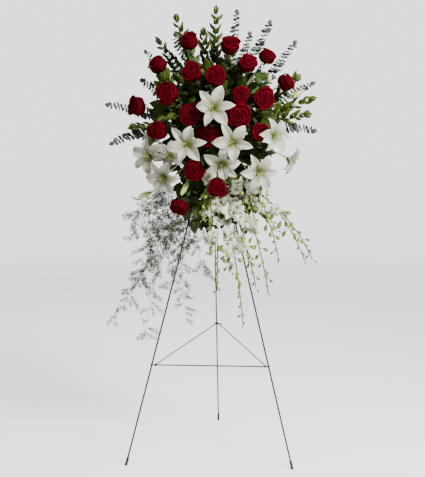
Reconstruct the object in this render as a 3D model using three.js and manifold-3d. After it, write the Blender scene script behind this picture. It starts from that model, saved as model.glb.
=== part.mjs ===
// Standing funeral spray: red roses and white lilies with cascading orchids and greens, set in a
// block of flower foam that a plastic cage holds on a folding wire easel.
// Millimetres. +X is to the viewer's right, +Y away from the viewer, +Z up; the floor is Z = 0.
// Places are first given from the middle of the front feet, and the whole is then centred.
import * as THREE from "three";
import { mergeVertices } from "three/addons/utils/BufferGeometryUtils.js";
import Module from "manifold-3d";

const wasm = await Module();
wasm.setup();

// Driving dimensions of the easel, a 48 inch florist's wire stand
const EASEL_HEIGHT = 1219; // where the lines of the front legs would meet
const FOOT_HALF_SPACING = 300;
const APEX_BACK = 240; // how far the front legs lean back at EASEL_HEIGHT
const BACK_FOOT = 575; // how far behind the front feet the back leg stands
const LEG_RADIUS = 3.15;
const BACK_LEG_RADIUS = 2.75;
const LEG_TOP = 1192;
const BAR_HEIGHT = 355;
const BAR_RADIUS = 2.4;
const BAR_OVERHANG = 5;
const PIN_HEIGHT = 1180;
const PIN_RADIUS = 2.5;
const PIN_HALF_LENGTH = 30;
const SPREADER_RADIUS = 2.1;
const SPREADER_HALF_SPACING = 200;
const SPREADER_APEX_HEIGHT = 436;
const CURL = { radius: 5, wire: 1.8, neck: 4.6 };
const CAP_WALL = 1.55;
const CAP_LENGTH = 30;
const LEG_LIFT = 6; // how far above the floor the wire of a leg ends in its tip
const SEAT = 0.3; // gap between two pieces that touch
const RUNNING = 0.6; // gap between an eye and the rod that it turns on

// Driving dimensions of the foam block and its cage
const FOAM_HEIGHT = 1165; // of its middle, where it meets the plane of the front legs
const FOAM_HALF = { across: 60, up: 115, out: 42 };
const CAGE_WALL = 2.6;
const CAGE_LIP = 11;
const CAGE_STRAP = { width: 7, thick: 2.4, height: 90 };
const HUB_RADIUS = 7;
const HUB_DEPTH = 26;
const HUB_SIDES = 5;

const CLEAR = 0.45; // smallest gap left between two neighbouring pieces of the arrangement
const FLOOR_BLOCK = 200;

const X = new THREE.Vector3(1, 0, 0);
const Z = new THREE.Vector3(0, 0, 1);
const TOWARDS_VIEWER = new THREE.Vector3(0, -1, 0);

const vec = (x, y, z) => new THREE.Vector3(x, y, z);
const along = (from, direction, distance) => from.clone().addScaledVector(direction, distance);
const between = (from, to, share) => from.clone().lerp(to, share);
const unit = (from, to) => to.clone().sub(from).normalize();
const radians = THREE.MathUtils.degToRad;

// A closed solid from a list of corners and triangles, with its faces turned outwards
function closedSolid(geometry) {
  const bare = new THREE.BufferGeometry();
  bare.setAttribute("position", geometry.getAttribute("position"));
  if (geometry.index) bare.setIndex(geometry.index);
  const merged = mergeVertices(bare, 1e-3);
  const index = merged.index.array;
  const kept = [];
  for (let i = 0; i < index.length; i += 3) {
    const [a, b, c] = [index[i], index[i + 1], index[i + 2]];
    if (a !== b && b !== c && c !== a) kept.push([a, b, c]);
  }
  const build = (triangles) =>
    new wasm.Manifold(
      new wasm.Mesh({
        numProp: 3,
        vertProperties: new Float32Array(merged.attributes.position.array),
        triVerts: new Uint32Array(triangles.flat()),
      }),
    );
  const made = build(kept);
  return made.volume() < 0 ? build(kept.map(([a, b, c]) => [a, c, b])) : made;
}

// A skin built ring by ring. Squares are split alike on both faces of a petal or leaf.
class Skin {
  points = [];
  triangles = [];

  ring(points) {
    const first = this.points.length;
    this.points.push(...points);
    return points.map((_, i) => first + i);
  }

  // A wall from one ring to the next; either may be a single point. Where the high ring is an edge
  // of no thickness, the squares are split the other way, so that both faces reach its corners.
  wall(low, high, toEdge = false) {
    const count = Math.max(low.length, high.length);
    const at = (ring, j) => ring[ring.length === 1 ? 0 : j % count];
    for (let j = 0; j < count; j++) {
      const [a, b, c, d] = [at(low, j), at(low, j + 1), at(high, j + 1), at(high, j)];
      if (j % 2 !== Number(toEdge)) this.triangles.push([a, b, d], [b, c, d]);
      else this.triangles.push([a, b, c], [a, c, d]);
    }
  }

  // A wall between two rings of different counts. The shares tell how far round each ring its
  // next point lies, from 0 at the high ring's first point to 1 back there.
  zip(low, high, lowShares = null, highShares = null) {
    const even = (ring) => ring.map((_, i) => (i + 1) / ring.length);
    const [lowAt, highAt] = [lowShares ?? even(low), highShares ?? even(high)];
    let [i, j] = [0, 0];
    while (i < low.length || j < high.length) {
      const [a, b] = [low[i % low.length], high[j % high.length]];
      if (i < low.length && (j === high.length || lowAt[i] <= highAt[j]))
        this.triangles.push([a, low[++i % low.length], b]);
      else this.triangles.push([a, high[++j % high.length], b]);
    }
  }

  // The same, with the shares taken from the rings' angles about the line between them
  zipByAngle(low, high) {
    const middle = (ring) =>
      ring.reduce((sum, id) => sum.add(this.points[id]), vec(0, 0, 0)).divideScalar(ring.length);
    const [from, to] = [middle(low), middle(high)];
    const axis = unit(from, to);
    const start = this.points[high[0]].clone().sub(to);
    start.addScaledVector(axis, -start.dot(axis)).normalize();
    const across = axis.clone().cross(start);
    const share = (id, centre) => {
      const arm = this.points[id].clone().sub(centre);
      const turn = Math.atan2(arm.dot(across), arm.dot(start)) / (2 * Math.PI);
      return turn < -1e-6 ? turn + 1 : Math.max(turn, 0);
    };
    const shares = low.map((id) => share(id, from));
    const last = shares.indexOf(Math.max(...shares));
    const turned = low.map((_, i) => low[(last + i) % low.length]);
    const lowShares = low.map((_, i) => shares[(last + i + 1) % low.length]);
    const highShares = high.map((_, j) => (j + 1 < high.length ? share(high[j + 1], to) : 1));
    this.zip(turned, high, lowShares, highShares);
  }

  cap(ring, facesBack = false) {
    for (let j = 1; j + 1 < ring.length; j++) {
      const [a, b, c] = [ring[0], ring[j], ring[j + 1]];
      this.triangles.push(facesBack ? [a, c, b] : [a, b, c]);
    }
  }

  // Walls out along several rings from one that is already there. The corners of a band's face
  // lie between the left, lower and right points of what grows from it.
  grow(base, rings) {
    let low = base;
    for (const points of rings) {
      const high = this.ring(points);
      const count = low.length;
      if (count === high.length || high.length === 1) this.wall(low, high, points.isEdge);
      else if (points.joinAt) this.zip(low, high, points.joinAt);
      else this.zipByAngle(low, high);
      low = high;
    }
    return low;
  }

  solid() {
    const whole = this.triangles.filter(([a, b, c]) => a !== b && b !== c && c !== a);
    const geometry = new THREE.BufferGeometry().setFromPoints(this.points);
    return closedSolid(geometry.setIndex(whole.flat()));
  }
}

// A skin through rings, with caps on the ends that are not a single point or a flat edge
function loft(rings, flatEnd = false) {
  const skin = new Skin();
  const first = skin.ring(rings[0]);
  const last = skin.grow(first, rings.slice(1));
  skin.cap(first, true);
  if (!flatEnd) skin.cap(last);
  return skin.solid();
}

// Two directions square to an axis; the first keeps away from the reference direction
function squareTo(axis, reference = Z) {
  const spare = Math.abs(axis.dot(reference)) > 0.96 ? X : reference;
  const side = axis.clone().cross(spare).normalize();
  return [side, side.clone().cross(axis).normalize()];
}

// A round, tapering rod through points, with a radius for each
function rod(points, radii, sides = 4, reference = Z) {
  const rings = points.map((point, i) => {
    const before = points[Math.max(i - 1, 0)];
    const after = points[Math.min(i + 1, points.length - 1)];
    const [side, up] = squareTo(unit(before, after), reference);
    return Array.from({ length: sides }, (_, k) => {
      const turn = (2 * Math.PI * (k + 0.5)) / sides;
      return along(along(point, side, radii[i] * Math.cos(turn)), up, radii[i] * Math.sin(turn));
    });
  });
  return loft(rings);
}

const joined = (solids) => wasm.Manifold.union(solids);

// The arrangement so far: every finished solid, by node name
const placed = new Map();
const isClear = (solid) => {
  const box = solid.boundingBox();
  for (const other of placed.values()) {
    const far = other.boundingBox();
    const apart = [0, 1, 2].some(
      (k) => box.min[k] > far.max[k] + CLEAR || far.min[k] > box.max[k] + CLEAR,
    );
    if (!apart && solid.minGap(other, CLEAR) < CLEAR) return false;
  }
  return true;
};
// The easel's own lines
const frameUp = unit(vec(0, 0, 0), vec(0, APEX_BACK, EASEL_HEIGHT));
const frameOut = frameUp.clone().cross(X).normalize().negate(); // square to the front legs' plane
const legFoot = (side) => vec(side * FOOT_HALF_SPACING, 0, 0);
const legApex = vec(0, APEX_BACK, EASEL_HEIGHT);
const legAt = (side, height) => between(legFoot(side), legApex, height / EASEL_HEIGHT);
const pinCentre = along(
  vec(0, (APEX_BACK * PIN_HEIGHT) / EASEL_HEIGHT, PIN_HEIGHT),
  frameOut,
  -(LEG_RADIUS + PIN_RADIUS + SEAT),
);
const backFoot = vec(0, BACK_FOOT, 0);
const barCentre = along(
  vec(0, (APEX_BACK * BAR_HEIGHT) / EASEL_HEIGHT, BAR_HEIGHT),
  frameOut,
  -(LEG_RADIUS + BAR_RADIUS + SEAT),
);

// The foam block stands on the front of the front legs and leans as they do
const foamCentre = along(
  vec(0, (APEX_BACK * FOAM_HEIGHT) / EASEL_HEIGHT, FOAM_HEIGHT),
  frameOut,
  LEG_RADIUS + SEAT + CAGE_WALL + SEAT + FOAM_HALF.out,
);
const foamFrame = new THREE.Matrix4().makeBasis(X, frameUp, frameOut).setPosition(foamCentre);
const foamPoint = (across, up, out) => vec(across, up, out).applyMatrix4(foamFrame);
const foamWay = (across, up, out) => vec(across, up, out).transformDirection(foamFrame);
const inFoamFrame = (geometry) => closedSolid(geometry.applyMatrix4(foamFrame));
const box = (across, up, out, at = [0, 0, 0]) =>
  new THREE.BoxGeometry(across, up, out).translate(...at);

const floorBlock = () =>
  closedSolid(
    new THREE.BoxGeometry(2000, 2000, FLOOR_BLOCK).translate(0, 0, -FLOOR_BLOCK / 2),
  );

function straightRod(from, to, radius, sides) {
  return rod([from, to], [radius, radius], sides);
}

// A rubber tip on the foot of a leg, cut flat at the floor, with a blind hole for the wire
function footCap(foot, direction, wireRadius) {
  const top = along(foot, direction, CAP_LENGTH);
  const bottom = along(foot, direction, -CAP_LENGTH);
  const floorOfHole = along(foot, direction, LEG_LIFT - SEAT);
  const bore = wireRadius + SEAT;
  const hole = straightRod(floorOfHole, along(top, direction, 5), bore, 8);
  return straightRod(bottom, top, bore + CAP_WALL, 8).subtract(hole).subtract(floorBlock());
}

function frontLeg(side) {
  const direction = unit(legFoot(side), legApex);
  return straightRod(along(legFoot(side), direction, LEG_LIFT), legAt(side, LEG_TOP), LEG_RADIUS, 8);
}

function frontBar() {
  const half = legAt(1, BAR_HEIGHT).x + BAR_OVERHANG;
  return straightRod(along(barCentre, X, -half), along(barCentre, X, half), BAR_RADIUS, 8);
}

function hingePin() {
  return straightRod(
    along(pinCentre, X, -PIN_HALF_LENGTH),
    along(pinCentre, X, PIN_HALF_LENGTH),
    PIN_RADIUS,
    10,
  );
}

// A ring of wire round a rod that lies along X
function eyeRound(centre, rodRadius, wireRadius) {
  const radius = rodRadius + RUNNING + wireRadius;
  const ring = new THREE.TorusGeometry(radius, wireRadius, 5, 10).rotateY(Math.PI / 2);
  return closedSolid(ring.translate(centre.x, centre.y, centre.z));
}

function backLeg() {
  const down = unit(pinCentre, backFoot);
  const ringRadius = PIN_RADIUS + RUNNING + BACK_LEG_RADIUS;
  const top = along(pinCentre, down, ringRadius);
  const shank = straightRod(top, along(backFoot, down, -LEG_LIFT), BACK_LEG_RADIUS, 8);
  return shank.add(eyeRound(pinCentre, PIN_RADIUS, BACK_LEG_RADIUS - 0.4));
}

// One arm of the spreader: an eye round the front bar, a straight arm, and a hook behind the back leg
function spreaderArm(side) {
  const share = SPREADER_APEX_HEIGHT / pinCentre.z;
  const apex = between(backFoot, pinCentre, share);
  const back = unit(barCentre, apex);
  const up = X.clone().cross(back).normalize();
  const reach = barCentre.distanceTo(apex);
  const frame = new THREE.Matrix4().makeBasis(X, back, up).setPosition(barCentre);
  const stack = side > 0 ? SPREADER_RADIUS + SEAT / 2 : -(SPREADER_RADIUS + SEAT / 2);
  const point = (across, out, level = 0) => vec(across, out, level).applyMatrix4(frame);
  const eyeCentre = point(side * SPREADER_HALF_SPACING, 0);
  const eyeReach = BAR_RADIUS + RUNNING + SPREADER_RADIUS;
  const hookRadius = BACK_LEG_RADIUS + RUNNING + SPREADER_RADIUS;
  const hook = [];
  for (let step = 0; step <= 6; step++) {
    const turn = radians(180 - 30 * step);
    hook.push(point(-side * hookRadius * Math.cos(turn), reach + hookRadius * Math.sin(turn), stack));
  }
  const route = [
    point(side * SPREADER_HALF_SPACING, eyeReach),
    point(side * (SPREADER_HALF_SPACING - 6), eyeReach + 12, stack / 2),
    ...hook,
  ];
  const pieces = [
    rod(route, route.map(() => SPREADER_RADIUS), 5, up),
    eyeRound(eyeCentre, BAR_RADIUS, SPREADER_RADIUS),
  ];
  if (side < 0) {
    // The wire's end is curled into a small standing ring that shows beside the back leg
    const ringAt = point(hookRadius + CURL.neck + CURL.radius, reach, stack);
    const curl = new THREE.TorusGeometry(CURL.radius, CURL.wire, 5, 10)
      .rotateX(Math.PI / 2)
      .applyMatrix4(new THREE.Matrix4().copy(frame).setPosition(ringAt));
    const neck = [point(hookRadius, reach, stack), point(hookRadius + CURL.neck, reach, stack)];
    pieces.push(closedSolid(curl), straightRod(...neck, CURL.wire, 5));
  }
  return joined(pieces);
}

// The cage: a tray behind the foam, two straps over its front and two hooks over the hinge pin
function foamCage() {
  const inner = { across: FOAM_HALF.across + SEAT, up: FOAM_HALF.up + SEAT };
  const back = -(FOAM_HALF.out + SEAT);
  const tray = inFoamFrame(
    box(2 * (inner.across + CAGE_WALL), 2 * (inner.up + CAGE_WALL), CAGE_WALL + CAGE_LIP, [
      0,
      0,
      back - CAGE_WALL + (CAGE_WALL + CAGE_LIP) / 2,
    ]),
  ).subtract(inFoamFrame(box(2 * inner.across, 2 * inner.up, 2 * CAGE_LIP, [0, 0, back + CAGE_LIP])));
  const { width, thick, height } = CAGE_STRAP;
  const strap = (level) => {
    const depth = FOAM_HALF.out + SEAT + thick - (back - CAGE_WALL);
    const middle = (FOAM_HALF.out + SEAT + thick + back - CAGE_WALL) / 2;
    const outer = box(2 * (inner.across + CAGE_WALL), width, depth, [0, level, middle]);
    const hollow = box(2 * inner.across, width + 2, depth, [0, level, middle - thick]);
    return inFoamFrame(outer).subtract(inFoamFrame(hollow));
  };
  const pin = pinCentre.clone().applyMatrix4(foamFrame.clone().invert());
  const hook = (across) => {
    const shape = new THREE.Shape();
    const reach = PIN_RADIUS + SEAT;
    const plate = back - CAGE_WALL;
    shape.moveTo(plate + 1, pin.y + 12);
    shape.lineTo(plate + 1, pin.y + reach);
    shape.lineTo(pin.z - reach, pin.y + reach);
    shape.lineTo(pin.z - reach, pin.y - 6);
    shape.lineTo(pin.z - reach - 3, pin.y - 6);
    shape.lineTo(pin.z - reach - 3, pin.y + reach + 3);
    shape.lineTo(plate - 4, pin.y + reach + 3);
    shape.lineTo(plate - 1, pin.y + 12);
    const plateHook = new THREE.ExtrudeGeometry(shape, { depth: 9, bevelEnabled: false });
    const turned = new THREE.Matrix4().makeBasis(vec(0, 0, 1), vec(0, 1, 0), vec(-1, 0, 0));
    return inFoamFrame(plateHook.applyMatrix4(turned).translate(across + 4.5, 0, 0));
  };
  return joined([tray, strap(height), strap(-height), hook(-20), hook(20)]);
}

// A hub is where a bunch of stems goes into the foam: it fills a plain hole of its own shape
const hubRod = (hub, radius, from, to) =>
  rod([along(hub.at, hub.way, from), along(hub.at, hub.way, to)], [radius, radius], HUB_SIDES);

const HUBS = {
  stems_top: { at: foamPoint(-6, FOAM_HALF.up, 26), way: foamWay(0, 1, 0.3) },
  stems_upper_left: { at: foamPoint(-30, 66, FOAM_HALF.out), way: foamWay(-0.4, 0.3, 1) },
  stems_upper_right: { at: foamPoint(30, 66, FOAM_HALF.out), way: foamWay(0.4, 0.3, 1) },
  stems_centre: { at: foamPoint(0, 25, FOAM_HALF.out), way: foamWay(0, 0, 1) },
  stems_left: { at: foamPoint(-32, -25, FOAM_HALF.out), way: foamWay(-0.5, 0, 1) },
  stems_right: { at: foamPoint(32, -25, FOAM_HALF.out), way: foamWay(0.5, 0, 1) },
  eucalyptus_left: { at: foamPoint(-FOAM_HALF.across, 45, -6), way: foamWay(-1, 0.2, 0) },
  eucalyptus_top: { at: foamPoint(24, FOAM_HALF.up, -19), way: foamWay(0, 1, 0) },
  eucalyptus_right: { at: foamPoint(FOAM_HALF.across, 45, -6), way: foamWay(1, 0.2, 0) },
  myrtle_top: { at: foamPoint(-20, FOAM_HALF.up, 2), way: foamWay(0, 1, 0) },
  myrtle_left: { at: foamPoint(-FOAM_HALF.across, 5, -6), way: foamWay(-1, 0, 0) },
  myrtle_right: { at: foamPoint(FOAM_HALF.across, 5, -6), way: foamWay(1, 0, 0) },
  salal_left: { at: foamPoint(-FOAM_HALF.across, -35, 24), way: foamWay(-1, 0, 0) },
  salal_right: { at: foamPoint(FOAM_HALF.across, -35, 24), way: foamWay(1, 0, 0) },
  plumosus: { at: foamPoint(-36, -FOAM_HALF.up, 6), way: foamWay(0, -1, 0.2) },
  orchids_left: { at: foamPoint(4, -FOAM_HALF.up, 14), way: foamWay(0, -1, 0.3) },
  orchids_right: { at: foamPoint(40, -FOAM_HALF.up, 10), way: foamWay(0, -1, 0.3) },
};

function foamBlock() {
  let block = inFoamFrame(box(2 * FOAM_HALF.across, 2 * FOAM_HALF.up, 2 * FOAM_HALF.out));
  for (const hub of Object.values(HUBS))
    block = block.subtract(hubRod(hub, HUB_RADIUS + SEAT + 0.2, -(HUB_DEPTH + SEAT), 20));
  return block;
}

// Where each rose stands: the middle of its head, its radius, how far it turns to the viewer
// (0 = along its stem, 1 = straight at the viewer), and the bunch that its stem belongs to.
const ROSES = [
  { at: [-76, 112, 1517], radius: 34, turned: 0.3, bunch: "stems_top", leaves: [0.45, 0.7] },
  { at: [68, 107, 1501], radius: 35, turned: 0.35, bunch: "stems_top", leaves: [0.5, 0.75] },
  { at: [199, 122, 1464], radius: 30, turned: 0.3, bunch: "stems_upper_right", leaves: [0.5, 0.75] },
  { at: [-189, 122, 1436], radius: 34, turned: 0.3, bunch: "stems_upper_left", leaves: [0.5, 0.72] },
  { at: [-62, 62, 1403], radius: 36, turned: 0.5, bunch: "stems_top", leaves: [0.6] },
  { at: [20, 52, 1390], radius: 36, turned: 0.5, bunch: "stems_top", leaves: [0.55] },
  { at: [130, 87, 1434], radius: 33, turned: 0.45, bunch: "stems_upper_right", leaves: [0.6] },
  { at: [265, 122, 1372], radius: 32, turned: 0.25, bunch: "stems_upper_right", leaves: [0.5, 0.75] },
  { at: [-148, 62, 1329], radius: 40, turned: 0.65, bunch: "stems_upper_left", leaves: [0.5, 0.75] },
  { at: [-262, 122, 1290], radius: 32, turned: 0.15, bunch: "stems_upper_left", leaves: [0.5, 0.72] },
  { at: [-61, 7, 1261], radius: 41, turned: 0.95, bunch: "stems_upper_left", leaves: [0.6] },
  { at: [107, 50, 1325], radius: 32, turned: 0.8, bunch: "stems_upper_right", leaves: [0.6] },
  { at: [186, 52, 1314], radius: 39, turned: 0.75, bunch: "stems_upper_right", leaves: [0.5, 0.75] },
  { at: [103, 2, 1252], radius: 43, turned: 0.95, bunch: "stems_centre", leaves: [0.45] },
  { at: [-180, 42, 1202], radius: 33, turned: 0.5, bunch: "stems_left", leaves: [0.4, 0.7] },
  { at: [172, 55, 1200], radius: 32, turned: 0.6, bunch: "stems_right", leaves: [0.45, 0.7] },
  { at: [-6, 52, 1188], radius: 43, turned: 1, bunch: "stems_centre", leaves: [0.5] },
  { at: [-52, 17, 1065], radius: 38, turned: 0.95, bunch: "stems_left", leaves: [0.5, 0.75] },
  { at: [29, 7, 1007], radius: 34, turned: 0.8, bunch: "stems_right", leaves: [0.5, 0.75] },
  {
    at: [-109, 62, 937],
    radius: 32,
    turned: 0.3,
    bunch: "stems_left",
    bend: [-10, -45, 0],
    leaves: [0.5, 0.75],
  },
];

// Lilies: the middle of the flower, its radius, the way it faces and how far it is rolled
const LILIES = [
  { at: [18, -33, 1279], radius: 74, faces: [0.05, -1, 0.15], roll: 12, bunch: "stems_centre" },
  { at: [-73, -33, 1155], radius: 70, faces: [-0.1, -1, 0.1], roll: 2, bunch: "stems_centre" },
  { at: [86, -43, 1160], radius: 70, faces: [0.1, -1, 0.05], roll: 18, bunch: "stems_centre" },
  { at: [50, -13, 1087], radius: 66, faces: [0, -1, -0.25], roll: 40, bunch: "stems_right" },
  { at: [176, 12, 1058], radius: 70, faces: [0.35, -1, -0.15], roll: 0, bunch: "stems_right" },
  { at: [230, 32, 1185], radius: 66, faces: [0.75, -1, 0.1], roll: 5, bunch: "stems_right" },
  { at: [285, 92, 1100], radius: 58, faces: [1, -0.35, -0.55], roll: 20, bunch: "stems_right" },
  { at: [-217, 52, 1113], radius: 70, faces: [-0.75, -1, -0.1], roll: 25, bunch: "stems_left" },
  { at: [-163, 32, 1039], radius: 70, faces: [-0.35, -1, -0.35], roll: 0, bunch: "stems_left" },
  { at: [-142, 42, 1116], radius: 60, faces: [0.1, -1, 0.3], roll: 40, bunch: "stems_left" },
  { at: [-206, 76, 1173], radius: 60, faces: [-0.8, -0.75, 0.4], roll: 10, bunch: "stems_left" },
];

const PETAL_THICK = 1.6;
const radialPoint = (frame, angle, distance, height) =>
  vec(distance * Math.cos(angle), distance * Math.sin(angle), height).applyMatrix4(frame);
const frameOn = (at, axis, roll) => {
  const [side, up] = squareTo(axis);
  return new THREE.Matrix4()
    .makeBasis(side, up, axis)
    .multiply(new THREE.Matrix4().makeRotationZ(radians(roll)))
    .setPosition(at);
};

// A frame round a way whose first direction is to the left of the face that it grows from
function frameFromLeft(at, way, across) {
  const left = across.clone().addScaledVector(way, -across.dot(way)).normalize().negate();
  return new THREE.Matrix4().makeBasis(left, way.clone().cross(left), way).setPosition(at);
}

const ROSE_DEPTH = 1.15; // height of a head as a share of its radius
function roseFrame(rose) {
  const hub = HUBS[rose.bunch];
  const at = vec(...rose.at);
  const axis = unit(hub.at, at).lerp(TOWARDS_VIEWER, rose.turned).normalize();
  return { at, axis, base: along(at, axis, -0.55 * ROSE_DEPTH * rose.radius) };
}

// Rings of a petal as [distance, height, half angle], in shares of the head's size
const OUTER_PETAL = [
  [0.86, -0.18, 40],
  [1.02, 0.24, 26],
];
const INNER_PETAL = [[0.6, 0.48, 34]];
const LAP = 0.86; // one edge of a petal is drawn in, and the next petal laps over it

// Two whorls of petals grow out of the five sided heart of the bloom
function roseHead(rose, number) {
  const { at, axis } = roseFrame(rose);
  const frame = frameOn(at, axis, number * 47);
  const skin = new Skin();
  const point = (angle, distance, height) =>
    radialPoint(frame, radians(angle), distance * rose.radius, height * ROSE_DEPTH * rose.radius);
  const heartRing = (turn, distance, height) =>
    skin.ring(Array.from({ length: 5 }, (_, k) => point(72 * k + turn, distance, height)));
  const heart = [
    heartRing(0, 0.14, -0.55),
    heartRing(36, 0.24, -0.45),
    heartRing(0, 0.25, -0.28),
    heartRing(36, 0.24, 0.1),
  ];
  const petal = (middle, base, outline) => {
    const rings = outline.map(([distance, height, half], i) => {
      const isLast = i === outline.length - 1;
      const thick = isLast ? 0 : PETAL_THICK / rose.radius / 2;
      const corners = [
        point(middle - half, distance * LAP, height),
        point(middle, distance + thick, height),
        point(middle + half, distance, height),
        point(middle, distance - thick, height),
      ];
      return isLast ? edgeRing(...corners) : corners;
    });
    skin.grow(base, rings);
  };
  skin.cap(heart[0], true);
  for (let k = 0; k < 5; k++) {
    const [before, after] = [(k + 4) % 5, (k + 1) % 5];
    skin.triangles.push([heart[0][k], heart[0][after], heart[1][k]]);
    petal(72 * k, [heart[1][before], heart[0][k], heart[1][k], heart[2][k]], OUTER_PETAL);
    petal(72 * k + 36, [heart[2][k], heart[1][k], heart[2][after], heart[3][k]], INNER_PETAL);
    skin.triangles.push([heart[3][before], heart[2][k], heart[3][k]]);
  }
  const tip = skin.ring([point(0, 0, 0.36)]);
  skin.wall(heart[3], tip);
  return skin.solid();
}

const LILY_NECK = 0.5; // length of a lily's neck behind its middle, as a share of its radius
function lilyFrame(lily) {
  const at = vec(...lily.at);
  const axis = vec(...lily.faces).normalize();
  return { at, axis, base: along(at, axis, -LILY_NECK * lily.radius) };
}

// Six tepals that spread from the throat and curl back, three wide and three narrow. Where a
// neighbour is in the way, a tepal is lifted, lowered or shortened a little.
const TEPAL_POSES = [1, 0.88, 0.76].flatMap((reach) =>
  [0, 0.15, -0.15, 0.3, -0.3, 0.45].map((lift) => ({ reach, lift })),
);
const TEPAL_JOIN = [0.375, 0.625, 0.875, 1];
function tepal(size, wide, angle) {
  const item = ({ frame }, { reach, lift }) => {
    const station = (distance, height, half, thick) => {
      const at = (side, rise) => {
        const turned = radians(angle);
        const [out, across] = [distance * reach, half * side];
        return vec(
          out * Math.cos(turned) - across * Math.sin(turned),
          out * Math.sin(turned) + across * Math.cos(turned),
          height + lift * distance + rise,
        )
          .multiplyScalar(size)
          .applyMatrix4(frame);
      };
      if (!half) return [at(0, 0)];
      return [at(-1, 0.04), at(0, -thick / size), at(1, 0.04)];
    };
    return [
      Object.assign(station(0.38, 0.0, 0.15 * wide, PETAL_THICK), { joinAt: TEPAL_JOIN }),
      station(0.72, 0.12, 0.17 * wide, PETAL_THICK),
      station(1, 0.02, 0, 0),
    ];
  };
  return item;
}

function lilyFlower(lily) {
  const { at, axis } = lilyFrame(lily);
  const size = lily.radius;
  const frame = frameOn(at, axis, lily.roll);
  const skin = new Skin();
  const ring = (count, turn, distance, height) =>
    skin.ring(
      Array.from({ length: count }, (_, k) =>
        radialPoint(frame, radians((360 / count) * k + turn), distance * size, height * size),
      ),
    );
  const neck = ring(3, 30, 0.06, -LILY_NECK);
  const [low, middle, high] = [ring(6, 0, 0.1, -0.3), ring(6, 30, 0.12, -0.22), ring(6, 0, 0.09, -0.14)];
  skin.cap(neck, true);
  skin.zip(neck, low);
  for (let k = 0; k < 6; k++) {
    const [before, after] = [(k + 5) % 6, (k + 1) % 6];
    skin.triangles.push([low[k], low[after], middle[k]], [high[k], middle[k], high[after]]);
    const base = [middle[before], low[k], middle[k], high[k]];
    const corners = base.map((id) => skin.points[id]);
    const item = tepal(size, k % 2 ? 0.8 : 1.1, 60 * k);
    const rings = fitting(item, corners, { frame }, null, null, TEPAL_POSES);
    if (rings) skin.grow(base, rings);
    else skin.cap(base);
  }
  const [foot, top] = [ring(3, 0, 0.035, -0.1), ring(3, 0, 0.04, 0.34)];
  skin.zip(high, foot);
  skin.wall(foot, top);
  skin.cap(top);
  return skin.solid();
}

// A stem's line is a quadratic curve from its hub, past an elbow, to its end
const HUB_LENGTH = 10; // how far a hub stands out of the foam
const HUB_START = 6; // where the stems start in it
const HUB_SPREAD = 3.4; // stems leave a hub this far from its middle, each on its own side
function stemLine(bunch, elbow, end) {
  const { at, way } = HUBS[bunch];
  const start = along(at, way, HUB_START);
  const aside = end.clone().sub(start);
  aside.addScaledVector(way, -aside.dot(way)).normalize();
  return new THREE.QuadraticBezierCurve3(along(start, aside, HUB_SPREAD), elbow, end);
}
const hubBody = (bunch) => hubRod(HUBS[bunch], HUB_RADIUS, -HUB_DEPTH, HUB_LENGTH);

// A rod of even thickness along a curve, cut square at its ends
function stemRod(line, radius, steps, sides = 4) {
  let side = squareTo(line.getTangent(0), TOWARDS_VIEWER)[0];
  const rings = Array.from({ length: steps + 1 }, (_, i) => {
    const at = line.getPoint(i / steps);
    const axis = line.getTangent(i / steps);
    side = side.clone().addScaledVector(axis, -side.dot(axis)).normalize();
    const up = axis.clone().cross(side).normalize();
    return Array.from({ length: sides }, (_, k) => {
      const turn = (2 * Math.PI * k) / sides;
      return along(along(at, side, radius * Math.cos(turn)), up, radius * Math.sin(turn));
    });
  });
  return loft(rings);
}

// The last step of a leaf or petal, where it has a blunt end: an edge of no thickness
const edgeRing = (...corners) => Object.assign(corners, { isEdge: true });

// The stalk of a leaf or frond: three corners close together, turned as its blade is
const STALK = { length: 5, half: 1 };
function stalkRing(at, way, across) {
  const back = across.clone().cross(way).normalize();
  const middle = along(at, way, STALK.length);
  const corner = (side, down) => along(along(middle, across, side * STALK.half), back, down * STALK.half);
  return [corner(-1, -0.6), corner(0, 1.1), corner(1, -0.6)];
}

// A leaf that grows from a short band of a stem. It is flat above and keeled below.
function leafRings(leaf, at, way, across) {
  const back = across.clone().cross(way).normalize();
  const station = ({ share, half, sag = 0 }) => {
    const middle = along(along(at, way, share * leaf.length), back, sag * leaf.length);
    return [along(middle, across, -half), along(middle, back, leaf.thick), along(middle, across, half)];
  };
  const rings = leaf.stations.map(station);
  if (leaf.faces) rings.unshift(stalkRing(at, way, across));
  const tip = along(along(at, way, leaf.length), back, (leaf.sag ?? 0) * leaf.length);
  const right = along(tip, across, leaf.end ?? 0);
  rings.push(leaf.end ? edgeRing(along(tip, across, -leaf.end), right, right) : [tip]);
  return rings;
}

// Sizes of the leaves. A tilt of 0 stands square to the stem and 90 lies along it.
const LEAF = {
  eucalyptus: {
    length: 18,
    thick: 1.1,
    tilt: 20,
    end: 4.5,
    stations: [{ share: 0.5, half: 9 }],
  },
  myrtle: { length: 30, thick: 1.1, tilt: 46, stations: [{ share: 0.42, half: 5.5 }] },
  salal: {
    length: 72,
    thick: 1.4,
    tilt: 38,
    faces: 0.7,
    sag: 0.1,
    stations: [
      { share: 0.28, half: 18 },
      { share: 0.66, half: 18, sag: 0.02 },
    ],
  },
  rose: {
    length: 46,
    thick: 1.3,
    tilt: 35,
    faces: 0.7,
    sag: 0.06,
    stations: [{ share: 0.45, half: 15 }],
  },
};

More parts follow.
